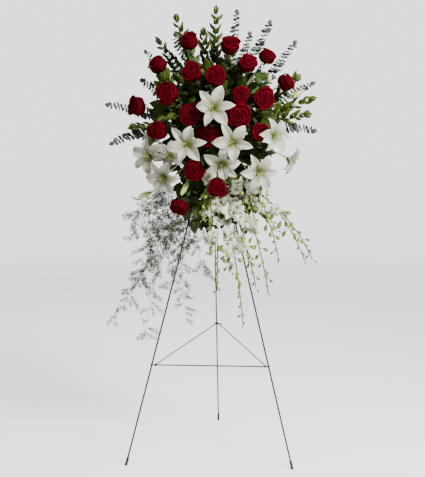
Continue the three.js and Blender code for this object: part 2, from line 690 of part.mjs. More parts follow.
// A stem with what grows on it, as one skin. Each node of the stem is a short band, and items
// grow from faces of the band; an item is a function of its place that lists its rings.
const BAND = 1.8;
function sprig(line, radius, sides, nodes, last = null) {
  const skin = new Skin();
  const own = [];
  const bare = stemRod(line, radius, 8, sides);
  let side = squareTo(line.getTangentAt(0), TOWARDS_VIEWER)[0];
  const place = (share, shift) => {
    const at = line.getPointAt(share);
    const axis = line.getTangentAt(share);
    at.addScaledVector(axis, shift);
    side = side.clone().addScaledVector(axis, -side.dot(axis)).normalize();
    const up = axis.clone().cross(side).normalize();
    const way = (turn) =>
      side.clone().multiplyScalar(Math.cos(turn)).addScaledVector(up, Math.sin(turn));
    return { at, axis, way };
  };
  const turnOf = (k) => (2 * Math.PI * (k + (sides === 4 ? 0.5 : 0))) / sides;
  const ringAt = ({ at, way }) =>
    skin.ring(Array.from({ length: sides }, (_, k) => along(at, way(turnOf(k - 0.5)), radius)));
  let below = ringAt(place(0, 0));
  skin.cap(below, true);
  for (const node of nodes) {
    const middle = place(node.share, 0);
    const low = ringAt(place(node.share, -BAND / 2));
    const high = ringAt(place(node.share, BAND / 2));
    skin.wall(below, low);
    for (let k = 0; k < sides; k++) {
      const next = (k + 1) % sides;
      const base = [low[k], low[next], high[next], high[k]];
      const out = middle.way(turnOf(k));
      const corners = base.map((id) => skin.points[id]);
      const item = node.faces.includes(k) && fitting(node.item, corners, { ...middle, out }, own, bare);
      if (item) skin.grow(base, item);
      else skin.cap(base);
    }
    below = high;
  }
  const end = place(1, 0);
  const top = ringAt(end);
  skin.wall(below, top);
  const corners = top.map((id) => skin.points[id]);
  const tipItem = last && fitting(last, corners, { ...end, out: end.way(turnOf(0)) }, own);
  if (tipItem) skin.grow(top, tipItem);
  else skin.cap(top);
  return skin.solid();
}

// The first bend of an item at which it clears all that is placed, or null
const BENDS = [
  [0, 0],
  [14, 0],
  [-14, 0],
  [0, 25],
  [0, -25],
  [28, 0],
  [-28, 0],
  [10, 45],
  [10, -45],
];
function fitting(item, corners, spot, own = null, stem = null, bends = BENDS) {
  for (const bend of bends) {
    const rings = item(spot, bend);
    if (stem && stem.minGap(loft(rings), 1) < 0.3) continue;
    const trial = new Skin();
    const base = trial.ring(corners);
    trial.cap(base, true);
    trial.grow(base, rings);
    const solid = trial.solid();
    if (!isClear(solid)) continue;
    if (own && own.some((other) => solid.minGap(other, 1) < 0.1)) continue;
    own?.push(solid);
    return rings;
  }
  return null;
}

// Turns a leaf about its own way until its face is seen, by a share of the full turn
function turnedToViewer(way, across, share) {
  const seen = TOWARDS_VIEWER.clone().cross(way);
  if (seen.dot(across) < 0) seen.negate();
  return across.clone().multiplyScalar(1 - share).addScaledVector(seen, share).normalize();
}

// The way out of a stem, tilted towards its tip and turned round it, in degrees
function wayOut({ axis, out }, tilt, spin) {
  const aside = out.clone().applyAxisAngle(axis, radians(spin));
  aside.multiplyScalar(Math.cos(radians(tilt)));
  return aside.addScaledVector(axis, Math.sin(radians(tilt)));
}

function leafItem(kind) {
  const leaf = LEAF[kind];
  const item = (spot, [lift, spin]) => {
    const way = wayOut(spot, leaf.tilt + lift, spin);
    const across = spot.axis.clone().cross(spot.out).normalize();
    return leafRings(leaf, spot.at, way, turnedToViewer(way, across, leaf.faces ?? 0));
  };
  return item;
}
function tipLeaf(kind) {
  const leaf = { ...LEAF[kind], sag: 0, faces: 0 };
  const item = (spot, [lift]) => {
    const across = spot.axis.clone().cross(spot.out).normalize();
    return leafRings(leaf, spot.at, spot.axis.clone().applyAxisAngle(across, radians(lift)), across);
  };
  return item;
}

// Evenly spaced nodes from a share of a line to near its tip
function nodesAlong(line, from, gap, node, to = 1 - 6 / line.getLength()) {
  const count = Math.max(1, Math.round((line.getLength() * (to - from)) / gap));
  return Array.from({ length: count }, (_, i) => ({
    share: from + ((to - from) * i) / Math.max(count - 1, 1),
    ...node(i, count),
  }));
}

// Cut greens: the bunch that each stem belongs to, its tip, its elbow and where its leaves start
const GREENS = {
  eucalyptus: {
    radius: 1.4,
    sides: 4,
    gap: 25,
    faces: (i) => (i % 2 ? [1, 3] : [0, 2]),
    stems: [
      ["top", [90, 190, 1650], [85, 185, 1535], 0.55],
      ["top", [140, 180, 1570], [125, 180, 1490], 0.6],
      ["top", [215, 190, 1610], [180, 180, 1515], 0.55],
      ["top", [-140, 200, 1570], [-120, 200, 1475], 0.6],
      ["right", [310, 190, 1535], [220, 205, 1415], 0.45],
      ["right", [380, 170, 1380], [310, 170, 1350], 0.55],
      ["right", [390, 160, 1200], [255, 165, 1230], 0.5],
      ["left", [-255, 190, 1505], [-215, 205, 1455], 0.6],
      ["left", [-270, 165, 1395], [-210, 170, 1360], 0.6],
      ["left", [-400, 170, 1300], [-310, 170, 1290], 0.6],
      ["left", [-385, 175, 1150], [-250, 175, 1215], 0.5],
    ],
  },
  myrtle: {
    radius: 1.3,
    sides: 4,
    gap: 24,
    faces: (i) => (i % 2 ? [1, 3] : [0, 2]),
    stems: [
      ["top", [-140, 185, 1635], [-110, 175, 1560], 0.6],
      ["top", [-35, 185, 1590], [-25, 185, 1480], 0.5],
      ["top", [15, 180, 1665], [15, 170, 1440], 0.4],
      ["top", [-210, 180, 1550], [-140, 175, 1450], 0.55],
      ["top", [50, 180, 1495], [65, 200, 1400], 0.55],
      ["right", [390, 150, 1325], [235, 150, 1285], 0.45],
      ["right", [375, 140, 1265], [265, 140, 1255], 0.5],
      ["right", [330, 160, 1410], [295, 150, 1385], 0.65],
      ["left", [-315, 145, 1210], [-230, 140, 1230], 0.55],
    ],
  },
  salal: {
    radius: 1.8,
    sides: 3,
    gap: 40,
    faces: (i) => [(i * 2) % 3],
    stems: [
      ["left", [-200, 160, 1400], [-150, 175, 1330], 0.4],
      ["left", [-230, 135, 1250], [-150, 140, 1240], 0.3],
      ["left", [-190, 120, 1120], [-108, 146, 1136], 0.3],
      ["left", [-100, 110, 1010], [-95, 130, 1090], 0.3],
      ["right", [110, 165, 1470], [100, 180, 1370], 0.4],
      ["right", [205, 165, 1380], [120, 185, 1320], 0.4],
      ["right", [250, 130, 1260], [160, 140, 1240], 0.3],
      ["right", [240, 120, 1120], [150, 140, 1150], 0.3],
      ["right", [165, 130, 1000], [140, 140, 1080], 0.3],
    ],
  },
};

function greens(kind, place) {
  const { radius, sides, gap, faces, stems } = GREENS[kind];
  const bunch = `${kind}_${place}`;
  const solids = [hubBody(bunch)];
  for (const [, tip, elbow, from] of stems.filter(([where]) => where === place)) {
    const [bend, end] = [vec(...elbow), vec(...tip)];
    const line = stemLine(bunch, bend, along(end, unit(bend, end), -LEAF[kind].length));
    const nodes = nodesAlong(line, from, gap, (i) => ({ faces: faces(i), item: leafItem(kind) }));
    solids.push(sprig(line, radius, sides, nodes, tipLeaf(kind)));
    placed.set("this bunch", joined(solids.slice(1)));
  }
  placed.delete("this bunch");
  return joined(solids);
}
// Lily buds: the middle, the length, the way the tip points and the bunch
const BUDS = [
  { at: [209, 122, 1390], length: 38, points: [0.15, 0, 1], bunch: "stems_upper_right" },
  { at: [307, 125, 1334], length: 38, points: [1, 0, 0.5], bunch: "stems_upper_right" },
  { at: [-87, 32, 1000], length: 50, points: [-0.55, -0.2, -1], bunch: "stems_left" },
  { at: [-237, 85, 974], length: 45, points: [-1, -0.1, -0.4], bunch: "stems_left" },
  { at: [183, 62, 960], length: 38, points: [0.3, -0.2, -1], bunch: "stems_right" },
];

const ROSE_STEM = 2.2;
const LILY_STEM = 2.4;
const BUD_STEM = 1.8;
function budSolid(bud) {
  const way = vec(...bud.points).normalize();
  const middle = vec(...bud.at);
  const at = (share) => along(middle, way, share * bud.length);
  return rod([at(-0.5), at(-0.15), at(0.3), at(0.5)], [2.6, 7.5, 5.5, 1], 6);
}

// A flower's stem comes up behind it along its own axis
function flowerLine(bunch, base, axis, bend = [0, 0, 0]) {
  const reach = 0.4 * HUBS[bunch].at.distanceTo(base);
  return stemLine(bunch, along(base, axis, -reach).add(vec(...bend)), base);
}

// A cup of sepals under a rose, just clear of the petals
const CALYX_LENGTH = 9;
function calyx(rose) {
  const { axis, base } = roseFrame(rose);
  const seat = along(base, axis, -SEAT);
  return rod([along(seat, axis, -CALYX_LENGTH), seat], [3, 0.18 * rose.radius], 4);
}

function stemBunch(bunch) {
  const solids = [hubBody(bunch)];
  ROSES.forEach((rose, i) => {
    if (rose.bunch !== bunch) return;
    const { axis, base } = roseFrame(rose);
    const line = flowerLine(bunch, along(base, axis, -5), axis, rose.bend);
    const nodes = rose.leaves.map((share, k) => ({
      share,
      faces: [(k + i) % 3],
      item: leafItem("rose"),
    }));
    solids.push(sprig(line, ROSE_STEM, 3, nodes), calyx(rose));
  });
  for (const lily of LILIES.filter((one) => one.bunch === bunch)) {
    const { axis, base } = lilyFrame(lily);
    solids.push(stemRod(flowerLine(bunch, along(base, axis, -CLEAR), axis), LILY_STEM, 3, 3));
  }
  for (const bud of BUDS.filter((one) => one.bunch === bunch)) {
    const way = vec(...bud.points).normalize();
    const base = along(vec(...bud.at), way, -0.45 * bud.length);
    solids.push(budSolid(bud), stemRod(flowerLine(bunch, base, way), BUD_STEM, 3, 3));
  }
  return joined(solids);
}

// A star of five petals on a short stalk. Its outline is a formula of the angle.
const ORCHID_STEM = 1.3;
const ORCHID_TILT = 27;
const FLORET = { stalk: 19, size: 20, gap: 26 };
function floretRings(spot, [lift, spin]) {
  const way = wayOut(spot, ORCHID_TILT + lift, spin);
  const looks = way.clone().addScaledVector(TOWARDS_VIEWER, 0.8).normalize();
  const across = spot.axis.clone().cross(spot.out).normalize();
  const frame = frameFromLeft(along(spot.at, way, FLORET.stalk), looks, across);
  const point = (angle, distance, height) =>
    radialPoint(frame, radians(angle), distance * FLORET.size, height * FLORET.size);
  const stalkEnd = [0, 120, 240].map((angle) => point(angle, 0.07, -0.2));
  const outline = [];
  for (let k = 0; k < 5; k++)
    outline.push(point(72 * k, 0.3, -0.02), point(72 * k + 36, 1, 0.08));
  return [stalkEnd, outline, [point(0, 0, 0.04)]];
}

// Orchid sprays that hang: bunch, tip, elbow, share where the florets start, and where they end
const ORCHIDS = [
  ["left", [25, 70, 630], [35, 60, 880], 0.2, 0.55],
  ["left", [120, 72, 505], [90, 50, 860], 0.2, 0.5],
  ["left", [165, 70, 645], [120, 30, 900], 0.2, 0.5],
  ["right", [210, 70, 620], [165, 45, 930], 0.2, 0.5],
  ["right", [245, 80, 740], [215, 40, 980], 0.25, 0.5],
  ["right", [340, 90, 740], [240, 60, 1000], 0.3, 0.5],
  ["right", [365, 95, 745], [285, 80, 940], 0.45, 0.5],
];

const BUD = { stalk: 5, length: 18, half: 5, gap: 25 };
function budRings(spot, [lift, spin]) {
  const way = wayOut(spot, ORCHID_TILT + lift, spin);
  const across = spot.axis.clone().cross(spot.out).normalize();
  const frame = frameFromLeft(along(spot.at, way, BUD.stalk + 5), way, across);
  const middle = [0, 120, 240].map((angle) => radialPoint(frame, radians(angle), BUD.half, 0));
  return [middle, [along(spot.at, way, BUD.length)]];
}

function orchidBunch(place) {
  const bunch = `orchids_${place}`;
  const solids = [hubBody(bunch)];
  for (const [, tip, elbow, from, buds] of ORCHIDS.filter(([where]) => where === place)) {
    const line = stemLine(bunch, vec(...elbow), vec(...tip));
    const nodes = [
      ...nodesAlong(line, from, FLORET.gap, (i) => ({ faces: [1 - (i % 2)], item: floretRings }), buds),
      ...nodesAlong(line, buds + 0.06, BUD.gap, (i) => ({ faces: [1 - (i % 2)], item: budRings })),
    ];
    solids.push(sprig(line, ORCHID_STEM, 3, nodes));
    placed.set("this bunch", joined(solids.slice(1)));
  }
  placed.delete("this bunch");
  return joined(solids);
}

// Asparagus fern: thin trails with short side twigs that end in tufts of needles
const TRAILS = [
  [[-365, 120, 500], [-230, 80, 700], 0.3],
  [[-320, 120, 870], [-220, 90, 960], 0.4],
  [[-240, 100, 440], [-200, 70, 780], 0.3],
  [[-85, 100, 495], [-130, 60, 780], 0.3],
  [[-30, 120, 680], [-60, 80, 850], 0.35],
];

// A frond's outline, cut into pointed leaflets on both sides of its rib, as [share, half width]
const FERN_STEM = 1.1;
const FROND = { length: 44, outline: [[0.2, 3], [0.36, 14], [0.5, 4], [0.7, 10]] };
function frondRings(spot, [lift, spin]) {
  const { at } = spot;
  const way = wayOut(spot, 30 + lift, spin);
  const across = turnedToViewer(way, spot.axis.clone().cross(spot.out).normalize(), 0.8);
  const point = ([share, half], side) =>
    along(along(at, way, share * FROND.length), across, side * half);
  const back = across.clone().cross(way).normalize();
  const left = FROND.outline.map((step) => point(step, -1));
  const right = FROND.outline.map((step) => point(step, 1)).reverse();
  const outline = [...left, point([1, 0], 0), ...right];
  outline.joinAt = [0.05, 0.93, 0.97]; // the stalk's lower corner carries all but the foot
  const rib = along(along(at, way, 0.42 * FROND.length), back, -0.9);
  return [stalkRing(at, way, across), outline, [rib]];
}

function fernTrails() {
  const solids = [hubBody("plumosus")];
  for (const [tip, elbow, from] of TRAILS) {
    const line = stemLine("plumosus", vec(...elbow), vec(...tip));
    const nodes = nodesAlong(line, from, 52, (i) => ({ faces: [i % 2], item: frondRings }));
    solids.push(sprig(line, FERN_STEM, 3, nodes));
    placed.set("this bunch", joined(solids.slice(1)));
  }
  placed.delete("this bunch");
  return joined(solids);
}

const group = new THREE.Group();
const finish = (color, roughness, metalness = 0) =>
  new THREE.MeshStandardMaterial({ color, roughness, metalness });
const GREEN_WIRE = finish("#26403a", 0.45, 0.4);
const RUBBER = finish("#17191a", 0.8);
const FOAM_GREEN = finish("#2f5a3a", 0.95);
const CAGE_GREEN = finish("#1f4a30", 0.5);
const ROSE_RED = finish("#a8061c", 0.6);
const LILY_WHITE = finish("#f3f1ea", 0.55);
const STEM_GREEN = finish("#3b5f2b", 0.6);
const ORCHID_WHITE = finish("#edf0d8", 0.6);
const FERN_GREEN = finish("#9fae8c", 0.75);
const LEAF_GREEN = {
  eucalyptus: finish("#7d9484", 0.7),
  myrtle: finish("#5c8c3a", 0.5),
  salal: finish("#2d5529", 0.5),
};

function addNode(name, solid, material) {
  const mesh = solid.getMesh();
  const count = mesh.numProp;
  const corners = new Float32Array(mesh.numVert * 3);
  for (let i = 0; i < mesh.numVert; i++)
    corners.set(mesh.vertProperties.subarray(i * count, i * count + 3), i * 3);
  const geometry = new THREE.BufferGeometry();
  geometry.setAttribute("position", new THREE.BufferAttribute(corners, 3));
  geometry.setIndex(new THREE.BufferAttribute(mesh.triVerts, 1));
  const node = new THREE.Mesh(geometry, material);
  node.name = name;
  group.add(node);
  placed.set(name, solid);
}
const numbered = (kind, i) => `${kind}_${String(i + 1).padStart(2, "0")}`;

for (const [name, side] of [["left", -1], ["right", 1]]) {
  addNode(`easel_leg_${name}`, frontLeg(side), GREEN_WIRE);
  addNode(`easel_foot_${name}`, footCap(legFoot(side), unit(legFoot(side), legApex), LEG_RADIUS), RUBBER);
  addNode(`easel_spreader_${name}`, spreaderArm(side), GREEN_WIRE);
}
addNode("easel_front_bar", frontBar(), GREEN_WIRE);
addNode("easel_hinge_pin", hingePin(), GREEN_WIRE);
addNode("easel_leg_back", backLeg(), GREEN_WIRE);
addNode("easel_foot_back", footCap(backFoot, unit(backFoot, pinCentre), BACK_LEG_RADIUS), RUBBER);
addNode("foam_cage", foamCage(), CAGE_GREEN);
addNode("foam_block", foamBlock(), FOAM_GREEN);

// The order matters from here on: what is placed later is bent clear of what is there already
ROSES.forEach((rose, i) => addNode(numbered("rose", i), roseHead(rose, i), ROSE_RED));
LILIES.forEach((lily, i) => addNode(numbered("lily", i), lilyFlower(lily), LILY_WHITE));
for (const bunch of Object.keys(HUBS).filter((name) => name.startsWith("stems_")))
  addNode(bunch, stemBunch(bunch), STEM_GREEN);
for (const side of ["left", "right"])
  addNode(`orchids_${side}`, orchidBunch(side), ORCHID_WHITE);
addNode("plumosus_trails", fernTrails(), FERN_GREEN);
for (const [kind, { stems }] of Object.entries(GREENS))
  for (const side of new Set(stems.map(([where]) => where)))
    addNode(`${kind}_${side}`, greens(kind, side), LEAF_GREEN[kind]);

// Centres the whole on the frame's origin, with its lowest point on the floor
const extent = new THREE.Box3().setFromObject(group);
const middle = extent.getCenter(new THREE.Vector3());
for (const node of group.children)
  node.geometry.translate(-middle.x, -middle.y, -extent.min.z);

export default group;
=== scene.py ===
"""Standing funeral spray: roses, lilies, orchids and greens on a folding wire easel.

Everything is placed in the easel's own millimetres, from the middle of its front feet, with +X to
the viewer's right, +Y away from the viewer and +Z up, and is moved to the frame's metres at the end.
"""

import logging
import math
from dataclasses import dataclass, field
from enum import Enum
from typing import Callable, Iterable, Sequence

import bpy
import numpy as np
from mathutils import Matrix, Vector


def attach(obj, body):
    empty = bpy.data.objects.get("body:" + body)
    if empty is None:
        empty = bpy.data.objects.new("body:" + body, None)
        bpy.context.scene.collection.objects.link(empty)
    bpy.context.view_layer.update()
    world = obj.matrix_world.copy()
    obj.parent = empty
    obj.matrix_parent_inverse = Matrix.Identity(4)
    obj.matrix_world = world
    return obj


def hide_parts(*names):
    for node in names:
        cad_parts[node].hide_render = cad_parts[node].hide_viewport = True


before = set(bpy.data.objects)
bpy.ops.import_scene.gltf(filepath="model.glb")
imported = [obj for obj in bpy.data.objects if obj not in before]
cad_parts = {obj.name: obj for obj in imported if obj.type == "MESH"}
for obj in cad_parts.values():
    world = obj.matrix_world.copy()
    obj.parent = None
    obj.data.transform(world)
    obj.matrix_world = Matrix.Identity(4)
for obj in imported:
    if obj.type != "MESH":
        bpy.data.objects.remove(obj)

LOG = logging.getLogger("funeral_spray")
MM = 0.001
TO_ORIGIN = np.array([7.31, -256.27, 0.0])  # from the middle of the front feet to the frame's origin
TOWARDS_VIEWER = np.array([0.0, -1.0, 0.0])
GOLDEN_ANGLE = math.radians(137.5)
STAND = "stand"
TINY = 1e-9  # the least length that a direction is divided by
NEARLY_ALONG = 0.96  # cosine above which a reference lies too close to an axis
VEIN_SHARPNESS = 8.0
BLOTCH_EDGES = (0.45, 0.7)
BLOTCH_SHARE = 0.5
RIM_START = 0.72  # where a blade's rim colour begins, as a share of its length
COAT_ROUGHNESS = 0.25
ROUGHNESS_SPREAD = 0.1
LEAST_ROUGHNESS = 0.05
BUMP_DEPTH = 0.0006
SUBSURFACE_RADIUS = (0.004, 0.003, 0.002)

Triple = tuple[float, float, float]  # a point, a direction or a colour


# vectors and lines


def vec(x: float, y: float, z: float) -> np.ndarray:
    """A point or a direction."""
    return np.array([x, y, z], dtype=float)


def unit(direction: np.ndarray) -> np.ndarray:
    """The direction at length one."""
    return direction / max(float(np.linalg.norm(direction)), TINY)


def turned(direction: np.ndarray, axis: np.ndarray, degrees: float) -> np.ndarray:
    """The direction turned about an axis by the right-hand rule."""
    angle = math.radians(degrees)
    axis = unit(axis)
    return (
        direction * math.cos(angle)
        + np.cross(axis, direction) * math.sin(angle)
        + axis * float(axis @ direction) * (1 - math.cos(angle))
    )


def square_to(axis: np.ndarray, reference: Sequence[float] = (0, 0, 1)) -> tuple[np.ndarray, np.ndarray]:
    """Two directions square to an axis, the first also square to the reference."""
    spare = np.array(reference, float)
    if abs(float(axis @ spare)) > NEARLY_ALONG:
        spare = vec(1, 0, 0)
    side = unit(np.cross(axis, spare))
    return side, unit(np.cross(side, axis))


def turned_to_viewer(way: np.ndarray, across: np.ndarray, share: float) -> np.ndarray:
    """Turns a leaf's cross direction about its way until its face is seen, by a share of the full turn."""
    seen = np.cross(TOWARDS_VIEWER, way)
    if float(seen @ across) < 0:
        seen = -seen
    return unit(across * (1 - share) + seen * share)


@dataclass
class StemLine:
    """A quadratic curve from a hub in the foam, past an elbow, to the end of a stem."""

    start: np.ndarray
    elbow: np.ndarray
    end: np.ndarray
    steps: int = 64
    lengths: np.ndarray = field(init=False)

    def __post_init__(self) -> None:
        """Measures the curve, so that places on it can be given as shares of its length."""
        points = self._point(np.linspace(0, 1, self.steps + 1)[:, None])
        spans = np.linalg.norm(np.diff(points, axis=0), axis=1)
        self.lengths = np.concatenate([[0], np.cumsum(spans)])

    def _point(self, t: float | np.ndarray) -> np.ndarray:
        """The point at a value of the curve's parameter, or the points at several."""
        return (1 - t) ** 2 * self.start + 2 * t * (1 - t) * self.elbow + t**2 * self.end

    @property
    def length(self) -> float:
        """Length of the curve in millimetres."""
        return float(self.lengths[-1])

    def at(self, share: float) -> tuple[np.ndarray, np.ndarray]:
        """The point and the tangent at a share of the length."""
        t = float(np.interp(share * self.length, self.lengths, np.linspace(0, 1, self.steps + 1)))
        tangent = 2 * (1 - t) * (self.elbow - self.start) + 2 * t * (self.end - self.elbow)
        return self._point(t), unit(tangent)

    def sampled(self, count: int) -> np.ndarray:
        """Evenly spaced points along the curve."""
        return np.array([self.at(i / (count - 1))[0] for i in range(count)])


@dataclass
class Spot:
    """A place on a stem where something grows: its point, the stem's way and the way out of it."""

    at: np.ndarray
    axis: np.ndarray
    out: np.ndarray

    def way(self, tilt: float, spin: float = 0.0) -> np.ndarray:
        """The way out of the stem, tilted towards its tip and spun round it, in degrees."""
        aside = turned(self.out, self.axis, spin)
        return aside * math.cos(math.radians(tilt)) + self.axis * math.sin(math.radians(tilt))

    @property
    def across(self) -> np.ndarray:
        """The direction across a leaf that lies flat round the stem."""
        return unit(np.cross(self.axis, self.out))


def spots_along(
    line: StemLine, shares: Iterable[float], turns: Callable[[int], Sequence[float]]
) -> list[Spot]:
    """Places where leaves grow on a stem.

    Args:
        line: The stem's curve.
        shares: Shares of its length at which the nodes are.
        turns: For a node's number, the angles round the stem at which something grows, in degrees.

    Returns:
        The spots, node by node.
    """
    _, axis = line.at(0)
    side = square_to(axis, TOWARDS_VIEWER)[0]
    found = []
    for number, share in enumerate(shares):
        at, axis = line.at(share)
        side = unit(side - axis * float(side @ axis))
        up = unit(np.cross(axis, side))
        for turn in turns(number):
            angle = math.radians(turn)
            found.append(Spot(at, axis, side * math.cos(angle) + up * math.sin(angle)))
    return found


def shares_along(line: StemLine, start: float, gap: float, end: float = 0.99) -> np.ndarray:
    """Evenly spaced shares of a line's length, a gap apart in millimetres."""
    count = max(2, round(line.length * (end - start) / gap) + 1)
    return np.linspace(start, end, count)


# the foam and the hubs, as the CAD model places them

EASEL_HEIGHT = 1219.0
APEX_BACK = 240.0
FOAM_HEIGHT = 1165.0
FOAM_FORWARD = 48.35
FOAM_HALF = vec(60, 115, 42)
FRAME_UP = unit(vec(0, APEX_BACK, EASEL_HEIGHT))
FRAME_OUT = -np.cross(FRAME_UP, vec(1, 0, 0))
FOAM_CENTRE = vec(0, APEX_BACK * FOAM_HEIGHT / EASEL_HEIGHT, FOAM_HEIGHT) + FRAME_OUT * FOAM_FORWARD
HUB_START = 6.0
HUB_SPREAD = 3.4
STEM_BEND = 0.4  # where a flower's stem bends, as a share of the way to its hub


def foam_way(across: float, up: float, out: float) -> np.ndarray:
    """A direction in the foam block's own frame."""
    return unit(vec(across, 0, 0) + FRAME_UP * up + FRAME_OUT * out)


def foam_point(across: float, up: float, out: float) -> np.ndarray:
    """A point in the foam block's own frame, from its middle."""
    return FOAM_CENTRE + vec(across, 0, 0) + FRAME_UP * up + FRAME_OUT * out


@dataclass(frozen=True)
class Hub:
    """Where a bunch of stems goes into the foam, and the way that they leave it."""

    at: Triple
    way: Triple

    def line(self, elbow: np.ndarray, end: np.ndarray) -> StemLine:
        """A stem's line from this hub, past an elbow, to its end."""
        way = foam_way(*self.way)
        start = foam_point(*self.at) + way * HUB_START
        aside = end - start
        aside = unit(aside - way * float(aside @ way))
        return StemLine(start + aside * HUB_SPREAD, elbow, end)

    def flower_line(self, base: np.ndarray, axis: np.ndarray, bend: Sequence[float] = (0, 0, 0)) -> StemLine:
        """The line of a flower's stem, which comes up behind it along its own axis."""
        reach = STEM_BEND * float(np.linalg.norm(base - foam_point(*self.at)))
        return self.line(base - axis * reach + np.array(bend, float), base)


HUBS = {
    "stems_top": Hub((-6, 115, 26), (0, 1, 0.3)),
    "stems_upper_left": Hub((-30, 66, 42), (-0.4, 0.3, 1)),
    "stems_upper_right": Hub((30, 66, 42), (0.4, 0.3, 1)),
    "stems_centre": Hub((0, 25, 42), (0, 0, 1)),
    "stems_left": Hub((-32, -25, 42), (-0.5, 0, 1)),
    "stems_right": Hub((32, -25, 42), (0.5, 0, 1)),
    "eucalyptus_left": Hub((-60, 45, -6), (-1, 0.2, 0)),
    "eucalyptus_top": Hub((24, 115, -19), (0, 1, 0)),
    "eucalyptus_right": Hub((60, 45, -6), (1, 0.2, 0)),
    "myrtle_top": Hub((-20, 115, 2), (0, 1, 0)),
    "myrtle_left": Hub((-60, 5, -6), (-1, 0, 0)),
    "myrtle_right": Hub((60, 5, -6), (1, 0, 0)),
    "salal_left": Hub((-60, -35, 24), (-1, 0, 0)),
    "salal_right": Hub((60, -35, 24), (1, 0, 0)),
    "plumosus_trails": Hub((-36, -115, 6), (0, -1, 0.2)),
    "orchids_left": Hub((4, -115, 14), (0, -1, 0.3)),
    "orchids_right": Hub((40, -115, 10), (0, -1, 0.3)),
}


# finishes


class Coating(Enum):
    """Kinds of gloss that a finish may have."""

    MATT = 0.0
    WAXY = 0.25


def feed(tree: bpy.types.NodeTree, node: bpy.types.Node, inputs: dict) -> None:
    """Feeds a node's inputs, by name or number, from sockets or with plain values."""
    for label, value in inputs.items():
        if isinstance(value, bpy.types.NodeSocket):
            tree.links.new(value, node.inputs[label])
        else:
            node.inputs[label].default_value = value


def add_node(tree: bpy.types.NodeTree, kind: str, inputs: dict, **settings: object) -> bpy.types.Node:
    """Adds a node to a tree, with properties of its own and with inputs as feed takes them."""
    node = tree.nodes.new(kind)
    for name, value in settings.items():
        setattr(node, name, value)
    feed(tree, node, inputs)
    return node


class ShaderKit:
    """Shader node groups that several finishes share."""

    def __init__(self) -> None:
        """Builds the groups once."""
        self.mottle = self._mottle_group()
        self.veins = self._veins_group()

    @staticmethod
    def _new_group(
        name: str, inputs: dict[str, tuple[str, object]], outputs: Sequence[str]
    ) -> bpy.types.NodeTree:
        """A shader group with named sockets.

        Args:
            name: The group's name.
            inputs: Socket name to its type and default value.
            outputs: Names of float outputs.

        Returns:
            The group, with its input and output nodes.
        """
        group = bpy.data.node_groups.new(name, "ShaderNodeTree")
        for label, (kind, value) in inputs.items():
            socket = group.interface.new_socket(label, in_out="INPUT", socket_type=kind)
            if value is not None:
                socket.default_value = value
        for label in outputs:
            group.interface.new_socket(label, in_out="OUTPUT", socket_type="NodeSocketFloat")
        group.nodes.new("NodeGroupInput")
        group.nodes.new("NodeGroupOutput")
        return group

    def _mottle_group(self) -> bpy.types.NodeTree:
        """Soft blotches over a surface, from 0 to 1, and a fine grain for bump."""
        group = self._new_group(
            "mottle",
            {"Blotch Size": ("NodeSocketFloat", 60.0), "Grain Size": ("NodeSocketFloat", 900.0)},
            ("Blotch", "Grain"),
        )
        start, end = group.nodes["Group Input"], group.nodes["Group Output"]
        coords = add_node(group, "ShaderNodeTexCoord", {})
        for size, output, detail in (("Blotch Size", "Blotch", 3.0), ("Grain Size", "Grain", 2.0)):
            inputs = {"Detail": detail, "Vector": coords.outputs["Object"], "Scale": start.outputs[size]}
            noise = add_node(group, "ShaderNodeTexNoise", inputs)
            group.links.new(noise.outputs["Fac"], end.inputs[output])
        return group

    def _veins_group(self) -> bpy.types.NodeTree:
        """A middle rib and side veins, from a blade's own coordinates."""
        group = self._new_group(
            "veins",
            {
                "Vein Count": ("NodeSocketFloat", 9.0),
                "Vein Slant": ("NodeSocketFloat", 0.5),
                "Rib Width": ("NodeSocketFloat", 0.09),
            },
            ("Rib", "Vein", "Along", "Aside"),
        )
        start, end = group.nodes["Group Input"], group.nodes["Group Output"]

        def solved(operation: str, *values: object) -> bpy.types.NodeSocket:
            """The result of an operation on sockets or numbers."""
            return add_node(group, "ShaderNodeMath", dict(enumerate(values)), operation=operation).outputs[0]

        blade = add_node(group, "ShaderNodeAttribute", {}, attribute_name="blade")
        split = add_node(group, "ShaderNodeSeparateXYZ", {0: blade.outputs["Vector"]})
        aside, along = solved("ABSOLUTE", split.outputs["X"]), split.outputs["Y"]
        width = start.outputs["Rib Width"]
        reach = {"Value": aside, "From Min": 0.0, "From Max": width, "To Min": 1.0, "To Max": 0.0}
        rib = add_node(group, "ShaderNodeMapRange", reach, interpolation_type="SMOOTHSTEP")
        slanted = solved("SUBTRACT", along, solved("MULTIPLY", aside, start.outputs["Vein Slant"]))
        phase = solved("MULTIPLY", solved("MULTIPLY", slanted, start.outputs["Vein Count"]), 2 * math.pi)
        swing = solved("ABSOLUTE", solved("COSINE", solved("MULTIPLY", phase, 0.5)))
        wave = solved("POWER", swing, VEIN_SHARPNESS)
        feed(group, end, {"Rib": rib.outputs["Result"], "Vein": wave, "Along": along, "Aside": aside})
        return group


